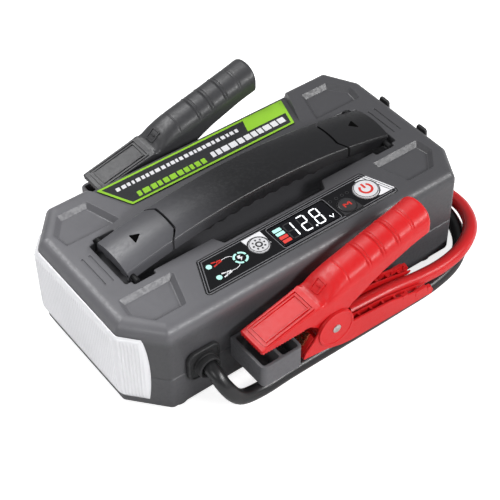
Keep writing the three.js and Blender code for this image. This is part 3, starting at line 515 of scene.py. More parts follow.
def lowered(x, y, z, below=0.0):
    """Height under the label's slope: inside the slope's ends, the lower of z and the sloping plane."""
    depth = y - SLOPE_START
    within = (depth > 0) & (x < 76 + 0.414 * depth - 0.1) & (x > -75 - 0.414 * depth + 0.1)
    return np.where(within, np.minimum(z, CASE_TOP - SLOPE * depth - below), z)


def case_rows(profile, below=0.0):
    """The case outline at each (inset, height) of a profile, brought down to the label's slope."""
    rows = [lift(ring(case_corners(i), CORNER_ROUND, -i), h) for i, h in profile]
    net = np.array(rows)
    net[..., 2] = lowered(net[..., 0], net[..., 1], net[..., 2], below)
    return net


def opened(rows, columns, keep):
    """Drops faces between two rows and two columns; columns past the last one go on from the first."""
    keep[rows[0]:rows[1], np.arange(*columns) % keep.shape[1]] = False


def pockets():
    return [POCKET, flip_x(POCKET), flip_y(POCKET), flip_x(flip_y(POCKET))]


def box(x0, x1, y0, y1):
    """A rectangle's corners, counter-clockwise."""
    return [(x0, y0), (x1, y0), (x1, y1), (x0, y1)]


def ccw(points):
    """The same outline, counter-clockwise: its doubled area, the sum of crossed neighbours, is positive."""
    p = np.asarray(points, float)
    q = np.roll(p, -1, 0)
    return p if (p[:, 0] * q[:, 1] - p[:, 1] * q[:, 0]).sum() > 0 else p[::-1]


def build_upper_casing(s):
    """The upper case half: a wall profile carried round the outline, a top with its recesses, and its inside.

    The wall rises straight and turns over a quarter circle into the flat top. Each recess is the rim's
    small rounding, a wall and a floor, carried round the recess outline.
    """
    form = Form()
    run, rise = quarter(s.edge_round, 8)
    inner_round = s.edge_round - WALL - 2.9
    irun, irise = quarter(inner_round, 8)
    start, ceiling = CASE_TOP - s.edge_round, CASE_TOP - 5.5
    levels = [PARTING_Z + 0.6, 46.3, 48.5, 70.5, 71.7]
    outer = [(0.7, PARTING_Z)] + [(0, z) for z in levels] + list(zip(run, start + rise))
    inner = [(WALL, PARTING_Z)] + [(WALL, z) for z in levels]
    inner += list(zip(WALL + irun, start + irise * (ceiling - start) / inner_round))
    outer_net, inner_net = case_rows(outer), case_rows(inner, 5.5)
    keep = np.ones((len(outer) - 1, outer_net.shape[1]), bool)
    opened((0, 4), LAMP_COLUMNS, keep)
    opened((0, 3), NEAR_GLAND_COLUMNS, keep)
    opened((0, 3), FAR_GLAND_COLUMNS, keep)
    opened((2, 5), PORT_COLUMNS, keep)
    form.shell(outer_net, inner_net, keep)

    holes = []

    def recess(corners, radius, profile, floor_holes=()):
        net = np.array([lift(ring(corners, radius, g, 6), z) for g, z in profile])
        form.net(net)
        holes.append(net[0][:, :2])
        form.fill(net[-1][:, :2], floor_holes, profile[-1][1])

    top = CASE_TOP
    for corners in pockets():
        recess(ccw(corners), 1.6, [(0.9, top), (0.35, top - 0.1), (0, top - 0.4), (-2.7, 78.0), (-3.0, 77.75),
                                   (-3.5, 77.6)])
    for x in (-130, -124, 124, 130):
        recess(box(x - 0.8, x + 0.8, -15, 15), 0.75,
               [(0.2, top), (0, top - 0.2), (-0.1, top - 0.8)])
    wells = [circle(x, y, r + 0.6) for x, y, r in BUTTONS.values()]
    x0, x1, y0, y1 = DISPLAY
    wells.append(np.array(box(x0, x1, y0, y1), float))
    recess(PANEL, 3.0, [(0.5, top), (0.15, top - 0.15), (0, top - 0.5), (0, PANEL_FLOOR)], wells)
    for well in wells:
        form.net(np.array([lift(well, PANEL_FLOOR), lift(well, ceiling)]))
    recess(CHANNEL, 1.3, [(1.0, top), (0.5, top - 0.15), (0.15, top - 0.5), (0, top - 1.0), (0, 71.5),
                          (-0.4, 70.4), (-1.2, 70)])

    # the label's slope needs an edge along its top and a pair of edges down each of its ends
    far = CASE_Y - s.edge_round
    ends = []
    for side in (0.4, -0.4):
        ends.append(((76 + side, SLOPE_START), (76 + 0.414 * (far - SLOPE_START) + side, far)))
        ends.append(((-75 - side, SLOPE_START), (-75 - 0.414 * (far - SLOPE_START) - side, far)))
    edge = [((-75.4, SLOPE_START), (76.4, SLOPE_START))]
    form.fill(outer_net[-1][:, :2], holes, lambda x, y: lowered(x, y, top), edge + ends)
    tub = ring(CHANNEL, 1.3, 2.6, 6)
    inner_far = CASE_Y - WALL - inner_round
    ends = []
    for side in (0.4, -0.4):
        ends.append(((76 + side, SLOPE_START), (76 + 0.414 * (inner_far - SLOPE_START) + side, inner_far)))
        ends.append(((-75 - side, SLOPE_START), (-75 - 0.414 * (inner_far - SLOPE_START) - side, inner_far)))
    form.fill(inner_net[-1][:, :2], [tub, *wells], lambda x, y: lowered(x, y, ceiling, 5.5), edge + ends)
    form.net(np.array([lift(tub, ceiling), lift(tub, 67)]))
    form.fill(tub, (), 67)
    return form.make("case_upper_shell", "casing", "case", ["upper_casing"], "upper_case", crease=28)


def build_finger_recess():
    """The scooped wall beside the handle's middle: sections across Y, one at each x.

    From the rim the height falls by 10.3 times the sine of the share of a quarter turn, down to the channel's
    floor. The rim's line slants in towards both ends, along the channel's own outline.
    """
    x = np.linspace(-47.9, 47.9, 97)[:, None]
    u = np.linspace(0, 1, 25)[None]
    start = -31.0 + np.clip((np.abs(x) - 44) * 8.5 / 4, 0, 8.5)
    y = start + (-18.5 - start) * u
    z = 80.6 - 10.3 * np.sin(np.pi / 2 * (y + 31.0) / 12.5)
    top = np.stack([x + 0 * y, y, z], -1)
    low = top.copy()
    low[..., 2] = 69.6
    form = Form().net(np.concatenate([top, low[:, ::-1]], 1), caps=(True, True))
    form.make("finger_recess", "casing", "case", (), "upper_case", crease=40)


def build_lower_casing():
    """The lower case half: the same outline with a small round at the bottom, screw wells and a tray."""
    form = Form()
    run, rise = quarter(2.0, 3)
    outer = list(zip(run[::-1], 7 - rise[::-1])) + [(0, 12.4), (0, 29.5), (0, 34.0), (0.7, 34.7)]
    inner = [(WALL + 1.2, 7.6), (WALL + 0.4, 7.7), (WALL + 0.1, 8.0), (WALL, 8.6)]
    inner += [(WALL, 12.4), (WALL, 29.5), (WALL, 34.0), (WALL, 34.7)]
    outer_net, inner_net = case_rows(outer[::-1]), case_rows(inner[::-1])
    keep = np.ones((len(outer) - 1, outer_net.shape[1]), bool)
    opened((0, 3), LAMP_COLUMNS, keep)
    opened((0, 2), NEAR_GLAND_COLUMNS, keep)
    opened((0, 2), FAR_GLAND_COLUMNS, keep)
    form.shell(outer_net, inner_net, keep)
    wells = [circle(x, y, 3.9, 20) for x in (-92, 0, 92) for y in (-65, 65)]
    form.fill(outer_net[-1][:, :2], wells, 5.0)
    for well in wells:
        form.net(np.array([lift(well, 5.0), lift(well, 7.2)]))
        form.fill(well, (), 7.2)
    form.fill(inner_net[-1][:, :2], (), 7.6)
    return form.make("case_lower_shell", "casing_low", "case", ["lower_casing"], "lower_case", crease=28)


# ---- cables ----
def cable_route(side, points):
    gland_run = [
        (-97, 71, 39), (-97, 80, 39), (-97, 90, 39), (-94.5, 98.5, 30), (-85, 101, 15), (-67, 99, 6.6),
        (-40, 98, FLOOR_LIE), (0, 98, FLOOR_LIE), (60, 98, FLOOR_LIE), (95, 97, FLOOR_LIE),
    ]
    return [(x, side * y, z) for x, y, z in gland_run + points]


BLACK_ROUTE = cable_route(-1, [
    (122, 91, FLOOR_LIE), (141, 78, FLOOR_LIE), (153, 56, FLOOR_LIE), (157, 28, FLOOR_LIE),
    (157, 0, FLOOR_LIE), (156, -30, 6.5), (152, -56, 11), (142, -76, 16), (125, -90, 18.3), (105, -96, 19),
    (82, -97.5, 21.5), (50, -97.5, 27.5), (12, -97.5, 31.2)])
RED_ROUTE = cable_route(1, [
    (120, 95, FLOOR_LIE), (142, 86, FLOOR_LIE), (160, 66, FLOOR_LIE), (169, 35, FLOOR_LIE),
    (170, 0, FLOOR_LIE), (169, -30, 7.5), (163, -58, 13), (148, -80, 17.5), (127, -92, 18.3),
    (105, -96.5, 19), (82, -97.5, 21.5), (50, -97.5, 27.5), (12, -97.5, 31.2)])


def build_cable(s, name, route):
    """A cable: a round section of one radius carried along a smooth curve through its route's points."""
    path, length = spline(route, 241)
    form = Form().tube(path, s.cable_diameter * 500, sides=22)
    cable = form.make(f"{name}_cable_sheath", f"cable_{name}", None, crease=50, weighted=False)
    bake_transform(cable)
    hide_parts(f"{name}_cable")
    return cable


# ---- glands, holsters, feet, port covers, lens ----
def build_gland(s, name, side):
    """A cable gland: a rounded-square flange with a stepped face, and a collar turned about the cable."""
    x, z = GLAND
    corners = box(x - GLAND_HALF, x + GLAND_HALF, z - GLAND_HALF, z + GLAND_HALF)
    y = lambda out: side * (CASE_Y + out)
    form = Form()
    profile = [(-3.5, -2.0), (-3.5, 0.3), (-0.4, 0.3), (0, 0.7), (0, 2.6), (-0.5, 3.3), (-1.2, 3.5),
               (-1.9, 3.3), (-2.1, 2.9), (-2.6, 2.8), (-3.5, 2.8)]
    net = np.array([lift(ring(corners, GLAND_CORNER, g, 8), y(out)) for g, out in profile])
    form.net(turned(net, "y"), caps=(True, True))
    bore = s.cable_diameter * 500 + 0.15
    profile = [(bore, 2.5), (9.0, 2.5), (9.0, 4.6), (8.3, 5.0), (8.3, 5.6), (8.9, 6.0), (8.9, 9.0),
               (8.4, 9.8), (7.6, 10.0), (7.0, 9.7), (bore + 0.5, 9.2), (bore, 8.6), (bore, 2.5)]
    form.lathe([(r, y(out)) for r, out in profile], (GLAND[0], 0, GLAND[1]), "y", 36, caps=(False, False))
    return form.make(f"{name}_gland_boot", "rubber", "case", [f"{name}_gland"], "rubber", crease=40)


def build_holster(name, side):
    """A holster: a block with round upright corners and two open cells, each a rim, walls and a floor."""
    form = Form()
    near, far = CASE_Y + 0.3, CASE_Y + 37.0
    place = lambda points: ccw([(x, side * y) for x, y in points])
    block = place(box(-74, -40, near, far))
    radii = np.where(np.abs(block[:, 1]) > near + 1, 4.0, 0.8)
    profile = [(-1.0, 27.0), (-0.3, 27.2), (0, 27.8), (0, 45.2), (-0.25, 45.8), (-0.8, 46.0)]
    net = np.array([lift(ring(block, radii, g, 7), z) for g, z in profile])
    form.net(net, caps=(True, False))
    cells = []
    for x0, x1 in ((-71.5, -58.25), (-55.75, -42.5)):
        cell = place(box(x0, x1, near + 2.5, far - 2.5))
        walls = [(0.5, 46.0), (0.15, 45.85), (0, 45.5), (0, 30.0), (-0.5, 29.5)]
        walls = np.array([lift(ring(cell, 1.6, g, 6), z) for g, z in walls])
        form.net(walls)
        form.fill(walls[-1][:, :2], (), 29.5)
        cells.append(walls[0][:, :2])
    form.fill(net[-1][:, :2], cells, 46.0)
    return form.make(f"{name}_holster_box", "holster_plastic", "case", [f"{name}_holster"], "lower_case")


def build_feet():
    """Four rubber feet: a profile with a rounded rim and a shallow dish, turned about each foot's axis."""
    for index, (sx, sy) in enumerate(((-1, -1), (1, -1), (-1, 1), (1, 1))):
        profile = [(0, 0.6), (5.6, 0.6), (6.4, 0.1), (7.2, 0.0), (9.0, 0.0), (9.7, 0.3), (10, 1.0), (10, 4.0),
                   (9.6, 4.7), (0, 4.7)]
        form = Form().lathe(profile, (sx * 112, sy * 63, 0), count=36)
        form.make(f"rubber_foot_{index + 1}", "rubber", "case", [f"foot_{index + 1}"], "rubber")


def build_port_cover(name, side):
    """A rubber port cover: a rounded flap with a raised border and a finger lug standing above it."""
    form = Form()
    y0, y1 = sorted((side * 1.0, side * 39.0))
    form.plate(box(y0, y1, 45.3, 69), CASE_X + 0.3, CASE_X + 1.7, 0.5, 3.0, "x")
    form.plate(box(y0 + 3, y1 - 3, 48, 66), CASE_X + 1.2, CASE_X + 2.2, 0.4, 2.0, "x")
    middle = side * 21
    form.plate([(middle - 6, 66), (middle + 6, 66), (middle + 4.8, 79), (middle - 4.8, 79)],
               CASE_X + 0.3, CASE_X + 3.0, 1.0, 2.2, "x")
    for k in (-1, 0, 1):
        form.plate(box(middle - 4, middle + 4, 72.4 + 2 * k, 73.2 + 2 * k), CASE_X + 2.6, CASE_X + 3.4,
                   0.3, 0.35, "x")
    form.make(f"{name}_cover_flap", "rubber", f"{name}_cover", [f"{name}_port_cover"], "rubber")


def lamp_path(grow):
    """The case's outline round the lamp end, moved out by grow, as (run from the middle, x, y)."""
    x, y = CASE_X, CASE_Y
    corners = [(-x, y - CORNER_LEG), (-x, -y + CORNER_LEG), (-x + LAMP_LEG, -y), (0, -y), (0, y),
               (-x + LAMP_LEG, y)]
    line = ring(corners, CORNER_ROUND, grow, 9)
    line = np.vstack([line[5 * 9 + 4], line[:2 * 9 + 5]])
    run = np.concatenate([[0], np.cumsum(np.linalg.norm(np.diff(line, axis=0), axis=1))])
    return run - run[-1] / 2, line


def build_lens():
    """The lamp's ribbed lens: the outline's path read at a run that grows with the column, at each height.

    Its ends bow outwards towards mid height like an eye. It stands proud by a quarter-round edge, and its
    ribs add a small raised sine at an even pitch. Towards its foot it stands less proud.
    """
    columns, rows = 660, 30
    across = np.linspace(-1, 1, columns)
    up = np.concatenate([[0, 0.004, 0.012, 0.025], np.linspace(0.045, 0.955, rows - 8),
                         [0.975, 0.988, 0.996, 1]])
    z = LENS_LOW + up * (LENS_HIGH - LENS_LOW)
    reach = 49.0 + 35.5 * (0.462 + 0.135 * np.clip(1 - ((z - 38) / 34) ** 2, 0, 1) ** 0.7)
    run = across[None] * reach[:, None]
    edge = np.minimum(reach[:, None] - np.abs(run), np.minimum(z - LENS_LOW, LENS_HIGH - z)[:, None])
    proud = LENS_PROUD * np.sqrt(np.clip(1 - (1 - np.clip(edge / 4.5, 0, 1)) ** 2, 0, 1))
    proud *= (0.3 + 0.7 * np.clip((z - LENS_LOW) / 9, 0, 1) ** 0.7)[:, None]
    proud += RIB_HEIGHT * (1 - np.abs(np.sin(np.pi * run / RIB_PITCH))) * np.clip((edge - 2) / 2, 0, 1)
    at, inner = lamp_path(0.0)
    _, outer = lamp_path(4.0)
    share = proud / 4.0
    point = lambda line, k: np.interp(run, at, line[:, k])
    px = point(inner, 0) * (1 - share) + point(outer, 0) * share
    py = point(inner, 1) * (1 - share) + point(outer, 1) * share
    front = np.stack([px, py, np.broadcast_to(z[:, None], run.shape)], -1)
    _, back_line = lamp_path(0.3)
    back = np.stack([point(back_line, 0), point(back_line, 1), front[..., 2]], -1)
    front = np.where((edge <= 0.02)[..., None], back, front)
    form = Form().net(front, closed=False).net(back, closed=False)
    form.make("ribbed_lens", "lens", "case", ["lamp_lens"], "lens", crease=60, weighted=False)


# ---- handle ----
def handle_net(x_rows, half, edge, crown, depth):
    """Sections of the arched handle: a crowned top, a small round over each long edge and straight skirts.

    At share t of the half width the top's height is edge + crown (1 - t^2), less the arch's drop at x, which
    grows as the square of x.
    """
    share = np.concatenate([[1, 1, 1, 0.992, 0.972, 0.94], np.linspace(0.88, -0.88, 15),
                            [-0.94, -0.972, -0.992, -1, -1, -1]])
    drop = np.concatenate([[depth, depth * 0.45, 1.9, 0.75, 0.25, 0.04], np.zeros(15),
                           [0.04, 0.25, 0.75, 1.9, depth * 0.45, depth]])
    y = share * half
    x = x_rows(y)
    top = edge + crown * (1 - share ** 2)
    z = top[None] - drop[None] - arched(x)
    return np.stack([x, np.broadcast_to(y, x.shape), z], -1)


def arched(x):
    """How far the handle's line has dropped at x from its middle."""
    return HANDLE_ARCH * (x / HANDLE_END) ** 2


def nose_x(y, setback):
    """Where a handle piece ends: straight across the middle, slanting back 6 mm over its outer 6.5 mm."""
    return 72 - setback + 6 * np.clip((np.abs(y) - 12) / 6.5, 0, 1)


def handle_rows(outer_x, inner_x):
    """The handle's outer sections, and inner ones a wall's thickness inside them."""
    return (handle_net(outer_x, HANDLE_HALF, HANDLE_EDGE, HANDLE_CROWN, HANDLE_DEPTH),
            handle_net(inner_x, HANDLE_HALF - HANDLE_WALL, HANDLE_EDGE - HANDLE_SKIN, HANDLE_CROWN,
                       HANDLE_DEPTH - HANDLE_SKIN))


def hollow_bar(form, rows):
    """An outer and an inner run of sections, joined along the bottom edges and round both ends."""
    outer, inner = rows
    body = np.concatenate([outer, inner[:, ::-1]], 1)
    form.net(body)
    for row in (0, -1):
        strip = np.stack([outer[row], inner[row]])
        form.net(strip, closed=False)
    return form


def build_handle():
    """The carry handle: a hollow crowned bar with slanted ends, a waved soft strip and two end pieces.

    The strip's lower edge falls by a squared cosine of x. Each end piece runs on from the bar's slanted end.
    """
    t = np.linspace(-1, 1, 61)[:, None]
    ends = lambda setback: (lambda y: t * nose_x(y, setback)[None])
    form = hollow_bar(Form(), handle_rows(ends(1.8), ends(1.8)))
    for side in (-1, 1):
        x0, x1 = sorted((side * 60, side * 82.5))
        form.plate(box(x0, x1, 82.5, 90.2), -7, 7, 0.8, 2.5, "y")
    form.make("handle_bar", "handle", "grip", ["handle_grip"], "grip")

    soft = Form()
    wave = lambda x: 1.7 * np.cos(2 * np.pi * x / 23) ** 2 * np.clip((52 - np.abs(x)) / 6, 0, 1)
    x = np.linspace(-56, 56, 113)[:, None]
    y = np.array([-17.6, -16.9, -15.4, 15.4, 16.9, 17.6])[None]
    low = HANDLE_EDGE - HANDLE_DEPTH - arched(x) - 2.4 - wave(x) + 0 * y
    low[:, [0, -1]] += 1.2
    high = np.broadcast_to(HANDLE_EDGE - HANDLE_DEPTH + 0.4 - arched(x), low.shape)
    body = np.concatenate([np.stack([x + 0 * y, y + 0 * x, low], -1),
                           np.stack([x + 0 * y, y + 0 * x, high], -1)[:, ::-1]], 1)
    soft.net(body, caps=(True, True))
    soft.make("handle_finger_strip", "grip_soft", "grip", (), "grip", crease=50)

    for name, side in (("left", -1), ("right", 1)):
        u = np.linspace(0, 1, 25)[:, None]
        run = lambda end: (lambda y: side * (nose_x(y, 0)[None] * (1 - u) + end * u))
        outer, inner = handle_rows(run(HANDLE_END), run(HANDLE_END - 2.5))
        arrow = np.array([(side * 91.5, 0), (side * 98, -4.6), (side * 98, 4.6)])
        link = Form()
        hollow_bar(link, (outer, inner))
        end_wall = np.stack([outer[-1][1:-1], outer[-1][1:-1] - [side * 0.8, 0, 0]])
        link.net(end_wall, closed=True, caps=(True, True))
        profile = [(74.5, 83), (82, 82), (105, 78), (114, 77.5), (114.5, 84), (105, 87), (90, 91), (76, 92.5)]
        placed = ccw([(side * a, b) for a, b in profile])
        for way in (-1, 1):
            low, high = sorted((way * 8, way * 12.5))
            link.plate(placed, low, high, 0.4, 1.0, "y")
        x0, x1 = sorted((side * 88, side * 113))
        link.plate(box(x0, x1, -12.5, 12.5), 82, 85, 0.3, 0.5)
        link.make(f"{name}_end_piece", "handle", f"{name}_link", [f"{name}_link"], "grip")
        mark = Form()
        corners = ccw(arrow)
        crown = lambda q: HANDLE_EDGE + HANDLE_CROWN * (1 - (q[:, 1] / HANDLE_HALF) ** 2) - arched(q[:, 0])
        edge = ring(corners, 0.5, 0, 4)
        for z in (-0.6, 0.14):
            mark.fill(edge, (), lambda x, y, z=z: crown(np.stack([x, y], 1)) + z,
                      [((side * 93, 0), (side * 97.2, 0)), ((side * 97.2, 2.4), (side * 97.2, -2.4))])
        mark.net(np.array([lift(edge, crown(edge) - 0.6), lift(edge, crown(edge) + 0.14)]))
        mark.make(f"{name}_arrow", "mark_black", f"{name}_link", (), "grip")


# ---- clamps ----
def arch_net(x, half, bottom, shoulder, crown, power, points=24):
    """Arched sections across Y: skirts from bottom to shoulder, then a superellipse up to the crown.

    Over the arch, at angle a, y = half |cos a|^(2/power) and
    z = shoulder + (crown - shoulder) |sin a|^(2/power).
    """
    a = np.linspace(0, np.pi, points)[None]
    k = (2 / np.asarray(power, float))[:, None]
    half, bottom, shoulder, crown = (np.asarray(v, float)[:, None] for v in (half, bottom, shoulder, crown))
    y = np.sign(np.cos(a)) * half * np.abs(np.cos(a)) ** k
    z = shoulder + (crown - shoulder) * np.abs(np.sin(a)) ** k
    one = np.ones_like(half)
    y = np.concatenate([half * one, half * one, y, -half * one, -half * one], 1)
    z = np.concatenate([bottom, (bottom + shoulder) / 2, z, (bottom + shoulder) / 2, bottom], 1)
    return np.stack([np.broadcast_to(np.asarray(x, float)[:, None], y.shape), y, z], -1)


def clamp_profiles(x):
    """The upper lever's half width, skirt bottom, shoulder, crown and arch power at each x."""
    half = np.interp(x, [-72, -35, -27, -20, -13, 30, 62, 72],
                     [12.0, 12.4, 12.6, 13.2, 13.9, 13.9, 14.1, 14.5])
    around = PIVOT[1] + np.sqrt(np.clip(16.4 ** 2 - (x - PIVOT[0]) ** 2, 0, None))
    skirt = np.interp(x, [-72, -36, -30, -24, 0.8, 10, 19, 28.5, 54, 73],
                      [56.8, 56.8, 56.2, 55.2, 57.3, 62, 67.2, 72.0, 81.6, 87])
    bottom = np.maximum(skirt, around)
    crown = np.interp(x, [-72, -23.5, -21, -18, -15, -11, -6, 0, 73],
                      [58.9, 70.4, 71.8, 74.4, 77.0, 79.8, 82.6, 85.2, 105.2])
    shoulder = np.interp(x, [-72, -23.5, -21, -18, -12, -6, 73], [57.6, 68.9, 67.6, 67.6, 69.6, 71.8, 92.0])
    power = np.interp(x, [-24, -22, -18, -6], [9, 3.2, 2.4, 2.2])
    return half, bottom, shoulder, crown, power


def build_upper_lever(name, side):
    """A clamp's upper lever: arched sections along X, from a flat nose through a shoulder to a round grip.

    Shallow pairs of finger grooves run round the grip, and its end closes over a quarter round.
    """
    y0 = side * CLAMP_Y
    x = np.concatenate([np.linspace(-71.4, -25, 96), np.linspace(-24, -4, 40),
                        np.linspace(-3.6, LEVER_END, 260)])
    half, bottom, shoulder, crown, power = clamp_profiles(x)
    groove = sum(np.exp(-((x - c - d) / 0.5) ** 2) for c in GRIP_GROOVES for d in (-1.2, 1.2))
    ridge = sum(np.exp(-((x - c) / 0.7) ** 2) for c in GRIP_GROOVES)
    band = 0.6 * sum(np.exp(-((x - c) / 0.55) ** 2) for c in GRIP_BANDS)
    sink = 0.6 * groove - 0.3 * ridge + 0.7 * band
    teeth = 2.4 * np.abs((x / 2.2) % 1 - 0.5) * np.clip((-36 - x) / 2, 0, 1)
    bottom = bottom - teeth
    outer = arch_net(x, half, bottom, shoulder, crown, power, 40)
    # the grooves sink towards the middle, and fade out where the top turns into the sides
    a = np.linspace(0, np.pi, 40)
    deep = np.concatenate([[0, 0], np.clip((np.sin(a) - 0.3) / 0.25, 0, 1), [0, 0]])
    out = np.concatenate([[0, 0], np.cos(a), [0, 0]])
    outer[..., 1] -= sink[:, None] * deep * out
    outer[..., 2] -= sink[:, None] * deep * np.sqrt(1 - out ** 2)
    run, rise = quarter(3.0, 6)
    tail = LEVER_END + rise
    th, tb, ts, tc, tp = clamp_profiles(tail)
    outer_tail = arch_net(tail, th - run, np.minimum(tb + run, ts), ts - run * 0.2, tc - run, tp, 40)[1:]
    head = LEVER_START + np.array([0, 0.1, 0.3])
    hh, hb, hs, hc, hp = clamp_profiles(head)
    inset = np.array([1.0, 0.55, 0.2])
    outer_head = arch_net(head, hh - inset, hb + inset * 0.3, hs - inset * 0.3, hc - inset * 0.6, hp, 40)
    outer = np.concatenate([outer_head, outer, outer_tail])
    ix = np.concatenate([[-69.5], np.linspace(-68, 68, 90), [69.0]])
    ih, ib, ishould, ic, ip = clamp_profiles(ix)
    inner = arch_net(ix, ih - 2.4, ib, ishould - 1.0, ic - 2.4, ip, 40)
    shift = lambda net: net + np.array([0, y0, 0])
    form = Form()
    form.net(shift(outer), closed=False)
    form.net(shift(inner), closed=False)
    # the bottom rims join each outer skirt to the inner one, read at the same places along X
    for column in (0, -1):
        form.add(*bridge(shift(outer[:, column]), shift(inner[:, column])))
    form.add(*cap_line(shift(outer[0])))
    form.add(*cap_line(shift(outer[-1])))
    form.add(*cap_line(shift(inner[0])))
    form.add(*cap_line(shift(inner[-1])))
    web = ccw([(-34, 57.5), (-24.5, 50), (-21.6, 41.3), (-17.9, 34.8), (-10.8, 32.2), (-3.7, 34.8), (0, 41.3),
               (2, 52), (12, 64), (14, 72), (-16, 72), (-28, 64)])
    for way in (-1, 1):
        low, high = sorted((way * 7.7, way * 11.9))
        form.plate(web, y0 + low, y0 + high, 0.4, 1.2, "y")
    for k in range(-4, 5):
        middle = y0 + 2.5 * k
        form.plate(box(-71.9, -70.4, middle - 0.75, middle + 0.75), 55.4, 57.6, 0.3, 0.2)
    body, slot = f"{name}_upper", f"{name}_plastic"
    plastic = "clamp_red" if name == "red" else "clamp_grey"
    form.make(f"{name}_grip_lever", plastic, body, [f"{name}_upper_lever"], slot, crease=38)

    # raised lines on the nose: a low rim that stands on the sloping nose plate
    rim = Form()
    rise = (NOSE_HIGH - NOSE_LOW) / (NOSE_END - LEVER_START)
    for grow, width in ((0.0, 0.9), (-2.6, 0.6)):
        outline = box(-68.5, -27, -10.6, 10.6)
        a, b = ring(outline, 1.5, grow, 5), ring(outline, 1.5, grow - width, 5)
        plane = lambda q: NOSE_LOW + (q[:, 0] - LEVER_START) * rise
        rows = [lift(line, plane(line) + h) for line, h in ((a, -0.8), (a, 0.55), (b, 0.55), (b, -0.8))]
        net = np.array(rows + [rows[0]])
        net[..., 1] += y0
        rim.net(net)
    # a plain rounded-square mark on the shoulder, laid on the crown's line, with a short bar in it
    for half_x, half_y, thin in ((3.9, 4.3, 0.9), (0.4, 1.9, 0.38)):
        square = box(-16.2 - half_x, -16.2 + half_x, -half_y, half_y)
        loops = [ring(square, min(1.0, half_x * 0.9), g, 5) for g in (0, 0, -thin, -thin)]
        rows = [lift(q, clamp_profiles(q[:, 0])[3] + h) for q, h in zip(loops, (-1.5, 0.8, 0.8, -1.5))]
        rim.net(np.array(rows + [rows[0]]) + np.array([0, y0, 0]))
    rim.make(f"{name}_nose_rim", plastic, body, (), slot)


def bridge(a, b):
    """Triangles between two lines of points that both run along X, in the merged order of their places."""
    ta = (a[:, 0] - a[0, 0]) / (a[-1, 0] - a[0, 0])
    tb = (b[:, 0] - a[0, 0]) / (a[-1, 0] - a[0, 0])
    order = np.concatenate([np.stack([ta[1:], np.zeros(len(a) - 1)], 1),
                            np.stack([tb[1:], np.ones(len(b) - 1)], 1)])
    which = order[np.argsort(order[:, 0], kind="stable"), 1].astype(int)
    at_a = np.concatenate([[0], np.cumsum(which == 0)])
    at_b = np.concatenate([[0], np.cumsum(which == 1)])
    tip = np.where(which == 0, at_a[1:], at_b[1:] + len(a))
    faces = np.stack([at_a[:-1], at_b[:-1] + len(a), tip], 1)
    return np.concatenate([a, b]), [tuple(f) for f in faces]


def cap_line(line):
    """One flat face over a section."""
    return line, [tuple(range(len(line)))]


def build_lower_lever(name, side):
    """A clamp's lower lever: two side plates with round bosses, a floor between them, a cable trough."""
    y0 = side * CLAMP_Y
    form = Form()
    boss = [(PIVOT[0] + 15.3 * math.cos(a), PIVOT[1] + 15.3 * math.sin(a))
            for a in np.radians(np.linspace(-17, 168, 22))]
    cheek = ccw([(-38.4, 28.8), (-17.5, 25.6), (-4.8, 21.3), (5, 19.8), (28, 19.2), (54, 18.6), (74, 18.7),
                 (80, 17.6), (81, 21.5), (79, 25.2), (60, 30.5), (39, 35.6), (10, 38.6)] + boss
                + [(-28.5, 43.0), (-30, 40.5), (-36.8, 33.5)])
    front = ccw([(-38.6, 28.6), (-17.5, 25.6), (-17.5, 29.0), (-22.5, 31), (-24, 40), (-28.5, 43.2),
                 (-36.8, 33.5)])
    for way in (-1, 1):
        low, high = sorted((y0 + way * 12.3, y0 + way * 14.3))
        form.plate(cheek, low, high, 0.7, 0.6, "y", 3)
        low, high = sorted((y0 + way * 13.5, y0 + way * 15.0))
        form.plate(circle(*PIVOT, BOSS_RADIUS, 48), low, high, 0.8, 0.01, "y", 1)
        rim = [(0, 0), (-0.1, 0.35), (-0.8, 0.5), (-1.5, 0.35), (-1.7, 0.0), (-1.7, -0.4), (0, -0.4), (0, 0)]
        rim = [(BOSS_RADIUS + r, y0 + way * (14.95 + h)) for r, h in rim]
        form.lathe(rim, (PIVOT[0], 0, PIVOT[1]), "y", 48, caps=(False, False))
        # the cable trough: an inner rail, and short ribs between it and the side plate
        rail = ccw([(8, 31), (76, 22.5), (79, 24.6), (60, 29.6), (39, 34.4), (10, 37.2)])
        low, high = sorted((y0 + way * 7.0, y0 + way * 8.2))
        form.plate(rail, low, high, 0.3, 0.5, "y", 3)
        for x in (14, 25, 36, 47, 58, 69):
            z = np.interp(x, [10, 39, 60, 80], [37.4, 34.6, 29.6, 24.2])
            y1, y2 = sorted((y0 + way * 7.6, y0 + way * 13.0))
            form.plate(box(x - 0.9, x + 0.9, y1, y2), z - 9, z - 0.8, 0.3, 0.3)
        for x, wide, tall in ((68.5, 5.5, 1.6), (53, 2.2, 2.2), (76.5, 1.6, 2.2)):
            z = np.interp(x, [10, 39, 60, 80], [38.4, 35.2, 30.2, 25.0])
            y1, y2 = sorted((y0 + way * 11.6, y0 + way * 14.6))
            form.plate(box(x - wide, x + wide, y1, y2), z - 3, z + tall * 0.6, 0.4, 0.5)
    form.plate(front, y0 - 12.3, y0 + 12.3, 0.8, 0.8, "y")
    floor = ccw([(-20, 26.0), (-4.8, 21.3), (5, 19.8), (28, 19.2), (50, 18.7), (50, 21.4), (28, 22),
                 (6, 22.6), (-3, 24.2), (-15, 28.2), (-20, 29.4)])
    form.plate(floor, y0 - 12.6, y0 + 12.6, 0.2, 0.3, "y", 3)
    plastic = "clamp_red" if name == "red" else "clamp_grey"
    form.make(f"{name}_base_lever", plastic, f"{name}_clamp", [f"{name}_lower_lever"], f"{name}_plastic",
              crease=35)


